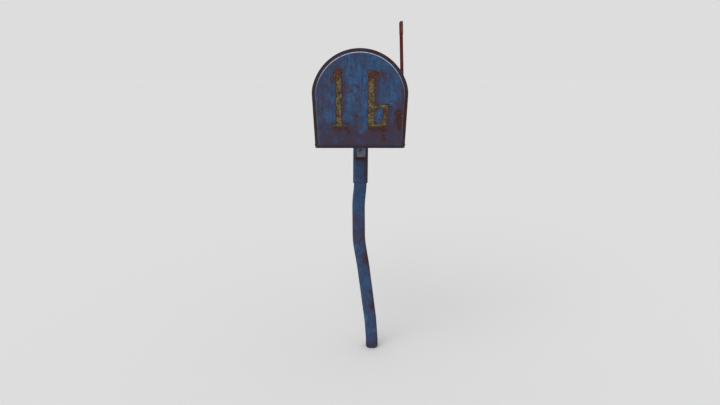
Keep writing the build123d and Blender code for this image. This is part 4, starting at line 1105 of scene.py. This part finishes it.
def build_tray(node):
    """A pressed tray with rounded corners: a flange, a rolled edge and a web.

    The outline is a rounded rectangle, and each row of the grid is that outline set in a little
    more: out along the flange, round a quarter circle and in across the web. A notch takes the
    flange away from the middle of the lower edge.
    """
    low_radius, high_radius, sheet, roll, notch = (size * MM for size in TRAYS[node])
    origin, back, up, out = flag_axes()
    back_low, back_high = span(node, origin, back)
    up_low, up_high = span(node, origin, up)
    out_low, out_high = span(node, origin, out)
    width, centre = back_high - back_low, (back_high + back_low) / 2
    segment, t = half_steps(TRAY_STEPS)
    run, rise = quarter(roll, 7)
    last = min(width, up_high - up_low) / 2 - 0.1 * MM
    inset = np.concatenate([np.zeros(4), run, np.linspace(roll, last, 9)[1:]])[:, None]
    depth = np.concatenate([np.linspace(out_low, out_high - roll, 5)[:-1],
                            out_high - roll + rise, np.full(8, out_high)])[:, None]
    x, z = tray_half((width, up_low, up_high, low_radius, high_radius), inset, segment, t)
    x, z = both_halves(x, -1), both_halves(z, 1)
    if notch:
        near = (np.abs(x + centre) < notch) & (z < up_low + 4 * MM)
        depth = np.where(near, np.maximum(depth, out_high - 0.6 * MM), depth)
    depth = depth - 0.25 * MM * hollow(joined(x, z), 0.05, 31) * smooth(inset / (3 * MM))
    points = origin + (x + centre)[..., None] * back + z[..., None] * up + depth[..., None] * out
    rows, columns = x.shape
    faces = quads(rows, columns, True).tolist() + zipped((rows - 1) * columns, columns)
    rim = bell(inset - roll / 2, 1.2 * MM)
    browned = 2.0 * (node == "flag_blade") * smooth((z - 0.15) / 0.1)
    values = {"wear": 0.5 * rim, "stain_and_shade": np.clip(browned + 0.2 * rim, 0, 2.2),
              "rust": 0.3 * browned * rim}
    piece(node + "_pressed", points, faces, FLAG, ("flag",), [node],
          values, wall=sheet)


def build_flag():
    """The flag's two pressed trays."""
    for node in TRAYS:
        build_tray(node)


def build_floor():
    """The floor pan: a flat with rounded ribs and turned-up edges, carried from front to back.

    A rib's height falls off as the exponential of minus the fourth power of the distance from its
    middle, which makes a broad top. The edges turn up on quarter circles into the leaning sides.
    """
    low, high = corners(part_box("floor_pan"))
    lean = math.tan(bpy.context.scene.box_shape.side_lean)
    bottom_z, flange = low[2] - BOX_Z, high[2] - low[2]
    foot = (high[0] - low[0]) / 2 - flange * lean
    bend, rib_rise, rib_reach, rib_spacing = 3 * MM, 4 * MM, 10.5 * MM, 84 * MM
    x = np.linspace(-foot + bend, foot - bend, 150)
    ribs = sum(np.exp(-((x - side * rib_spacing) / rib_reach) ** 4) for side in (-1, 0, 1))
    run, rise = quarter(bend, 6)
    side_z = np.linspace(bend, flange, 6)[1:]
    side_x = foot + side_z * lean - 0.05 * MM
    right_x, right_z = np.append(foot - bend + rise[1:], side_x), np.append(run[1:], side_z)
    x = np.concatenate([-right_x[::-1], x, right_x])
    z = bottom_z + np.concatenate([right_z[::-1], rib_rise * ribs, right_z])
    y = np.linspace(low[1], high[1], 30)[:, None]
    piece("floor_skin", place(x, z, y), quads(len(y), len(x), False), ROOT,
          ("inside",), ["floor_pan"], flip=True, wall=1.0 * MM)


def build_board():
    """The mounting board: sawn timber with eased edges and slightly wavy faces.

    Each row of the grid is a rounded rectangle at one depth. Ripples draw its upper and lower faces
    in, and the first and last rows are trimmed all round to ease the sawn ends.
    """
    low, high = corners(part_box("mounting_board"))
    half_x, half_z = (high[0] - low[0]) / 2, (high[2] - low[2]) / 2
    ease, trimmed, wave, inner_rows = 1.5 * MM, 0.8 * MM, 0.15 * MM, 60
    segment, t = half_steps(BOARD_STEPS)
    x, z = tray_half((2 * half_x, -half_z, half_z, ease, ease), 0.0, segment, t)
    x, z = both_halves(x, -1), both_halves(z, 1)
    inner_y = np.linspace(low[1] + trimmed, high[1] - trimmed, inner_rows)
    y = np.concatenate([[low[1]], inner_y, [high[1]]])[:, None]
    trim = np.concatenate([[trimmed], np.zeros(inner_rows), [trimmed]])[:, None]
    across = x * (1 - trim / half_x)
    spot = joined(across, 0.2 * y, z)
    height = (z - wave * np.sign(z) * (1 + ripple(spot, 0.03, 51))) * (1 - trim / half_z)
    points = joined(BOX_X + across, y, (low[2] + high[2]) / 2 + height)
    rows, columns = across.shape
    ends = [list(range(columns)), list(range((rows - 1) * columns, rows * columns))[::-1]]
    faces = quads(rows, columns, True).tolist() + ends
    piece("board_sawn", points, faces, ROOT, ("board",),
          ["mounting_board"], flip=True, sharp=math.radians(40))


class StageSettings(PropertyGroup):
    """Floor, lights and camera."""

    floor: colour("Floor", "#e6e6e6", "Plain pale floor")
    sky: FloatProperty(
        name="Sky", description="Brightness of the even sky", default=0.723, min=0.0,
    )
    key: FloatProperty(
        name="Key", description="Strength of the soft key light", default=0.85, min=0.0,
    )
    camera_back: length("Camera distance", 1942.0, "Camera to the door's face, along the ground")
    camera_rise: length("Camera rise", 295.45, "Camera height above the box's bottom edge")
    camera_tilt: FloatProperty(
        name="Camera tilt", description="How far the camera looks down",
        default=math.radians(15.0), subtype="ANGLE",
    )
    lens: FloatProperty(
        name="Focal length", description="Lens in millimetres", default=24.444, min=1.0,
    )


def build_stage():
    """A wide round floor of one tone with the even sky, a soft key and the camera.

    The floor is rings of points round the origin, each an equal turn from the last, shut by a fan.
    """
    scene = bpy.context.scene
    stage = scene.stage_settings
    # Matt studio paper: one even pale tone.
    material, tree, _ = start("matt_studio_paper")
    add(tree, OUTPUT, Surface=add(tree, PRINCIPLED, Base_Color=rgba(stage.floor), Roughness=0.9,
                                  Specular_IOR_Level=0.1))
    around = np.linspace(0, 2 * math.pi, 96, endpoint=False)
    reach = np.array([2.0, 8.0, 30.0, 90.0])[:, None]
    rings = joined(reach * np.cos(around), reach * np.sin(around), 0.0)
    rows, columns = rings.shape[:2]
    points = np.vstack([rings.reshape(-1, 3), np.zeros(3)])
    faces = quads(rows, columns, True)[:, ::-1].tolist() + fan(0, columns, rows * columns).tolist()
    mesh = bpy.data.meshes.new("studio_floor")
    mesh.from_pydata(points.tolist(), [], faces)
    mesh.materials.append(material)
    mesh.shade_smooth()
    floor = bpy.data.objects.new("studio_floor", mesh)
    scene.collection.objects.link(floor)
    world = bpy.data.worlds.new("even_sky")
    world.use_nodes = True
    sky = world.node_tree.nodes["Background"].inputs
    sky["Color"].default_value = (1.0, 1.0, 1.0, 1.0)
    sky["Strength"].default_value = stage.sky
    scene.world = world
    # Light comes over the left shoulder from a large, distant source, so it falls off nowhere.
    sun = bpy.data.lights.new("soft_key", "SUN")
    sun.energy = stage.key
    sun.angle = math.radians(50)
    key = bpy.data.objects.new("soft_key", sun)
    scene.collection.objects.link(key)
    key.rotation_euler = Vector((0.55, 0.75, -1.05)).to_track_quat("-Z", "Y").to_euler()
    camera = bpy.data.cameras.new("camera")
    camera.sensor_width = 36.0
    camera.lens = stage.lens
    view = bpy.data.objects.new("camera", camera)
    scene.collection.objects.link(view)
    view.location = (BOX_X, DOOR_LOW[1] - stage.camera_back, BOX_Z + stage.camera_rise)
    view.rotation_euler = (math.pi / 2 - stage.camera_tilt, 0.0, 0.0)
    scene.camera = view
    scene.view_settings.view_transform = "Standard"


def build_hardware():
    """Saddle, bolts, rivets, screws, springs and brackets, from the CAD with their edges eased."""
    # Body, slot and material, then each node with the width of its eased edges in millimetres.
    groups = (
        (ROOT, "galvanised_steel", "zinc", {"saddle_bracket": 0.9, "flag_bracket": 0.4}),
        (ROOT, "plated_fasteners", "fastener", {
            "through_bolt": 0.5, "through_nut": 0.5, "bolt_washers": 0.3, "saddle_screws": 0.4,
            "board_screws": 0.4, "hinge_spacers": 0.3, "flag_pivot_bolt": 0.4,
            "flag_pivot_nut": 0.4,
        }),
        (ROOT, "box_rivets", "rivet", {
            "hinge_rivets": 0.5, "back_rivets": 0.4, "floor_rivets": 0.4, "catch_rivets": 0.4,
            "flag_bracket_rivets": 0.4,
        }),
        (ROOT, "spring_steel", "spring", {"catch_spring": 0.15, "flag_spring_washer": 0.2}),
        (DOOR, "bare_inside_steel", "inside", {"door_striker": 0.3}),
        (FLAG, "flag_red", "flag", {"flag_rivets": 0.4}),
    )
    for body, slot, material, nodes in groups:
        for node, width in nodes.items():
            softened(node, body, material, width * MM)


# ---------------------------------------------------------------- operators and panel


class POSTBOX_OT_stage(Operator):
    """Make the floor, the light and the camera"""

    bl_idname = "postbox.stage"
    bl_label = "Stage"

    def execute(self, context):
        build_stage()
        return {"FINISHED"}


class POSTBOX_OT_materials(Operator):
    """Make every paint, metal and timber"""

    bl_idname = "postbox.materials"
    bl_label = "Materials"

    def execute(self, context):
        make_materials()
        return {"FINISHED"}


class POSTBOX_OT_door(Operator):
    """Build the pressed door"""

    bl_idname = "postbox.door"
    bl_label = "Door"

    def execute(self, context):
        build_door()
        return {"FINISHED"}


class POSTBOX_OT_figures(Operator):
    """Paint the house number on the door"""

    bl_idname = "postbox.figures"
    bl_label = "House number"

    def execute(self, context):
        build_figures()
        return {"FINISHED"}


class POSTBOX_OT_body(Operator):
    """Build the body, the back panel and the floor"""

    bl_idname = "postbox.body"
    bl_label = "Body, back and floor"

    def execute(self, context):
        build_body()
        build_back()
        build_floor()
        return {"FINISHED"}


class POSTBOX_OT_post(Operator):
    """Build the post, its foot, its collar and the mounting board"""

    bl_idname = "postbox.post"
    bl_label = "Post, collar and board"

    def execute(self, context):
        build_post()
        build_foot()
        build_collar()
        build_board()
        return {"FINISHED"}


class POSTBOX_OT_flag(Operator):
    """Build the flag's arm and blade"""

    bl_idname = "postbox.flag"
    bl_label = "Flag"

    def execute(self, context):
        build_flag()
        return {"FINISHED"}


class POSTBOX_OT_hardware(Operator):
    """Build the saddle, bolts, rivets, screws and springs"""

    bl_idname = "postbox.hardware"
    bl_label = "Hardware"

    def execute(self, context):
        build_hardware()
        return {"FINISHED"}


class POSTBOX_PT_sidebar(Panel):
    """Lists the post box's pieces and sizes in the sidebar"""

    bl_label = "Post Box"
    bl_idname = "POSTBOX_PT_sidebar"
    bl_space_type = "VIEW_3D"
    bl_region_type = "UI"
    bl_category = "Post Box"

    def draw(self, context):
        for operator in STEPS:
            self.layout.operator(operator.bl_idname)
        for group in GROUPS:
            column = self.layout.box().column()
            for key in group.__annotations__:
                column.prop(getattr(context.scene, GROUPS[group]), key)


GROUPS = {BoxShape: "box_shape", PostShape: "post_shape", FigureShape: "figure_shape",
          PaintColours: "paint_colours", StageSettings: "stage_settings"}
STEPS = (POSTBOX_OT_stage, POSTBOX_OT_materials, POSTBOX_OT_door, POSTBOX_OT_figures,
         POSTBOX_OT_body, POSTBOX_OT_post, POSTBOX_OT_flag, POSTBOX_OT_hardware)


def register():
    """Register the classes and hang the settings on the scene."""
    for group, name in GROUPS.items():
        bpy.utils.register_class(group)
        setattr(bpy.types.Scene, name, PointerProperty(type=group))
    for step in (*STEPS, POSTBOX_PT_sidebar):
        bpy.utils.register_class(step)


def unregister():
    """Undo register."""
    for step in (POSTBOX_PT_sidebar, *reversed(STEPS)):
        bpy.utils.unregister_class(step)
    for group, name in GROUPS.items():
        delattr(bpy.types.Scene, name)
        bpy.utils.unregister_class(group)


def main():
    """Build everything in order."""
    register()
    for step in STEPS:
        name = step.bl_idname.split(".")[1]
        if getattr(bpy.ops.postbox, name)() != {"FINISHED"}:
            raise RuntimeError(f"{name} did not finish")


if __name__ == "__main__":
    main()
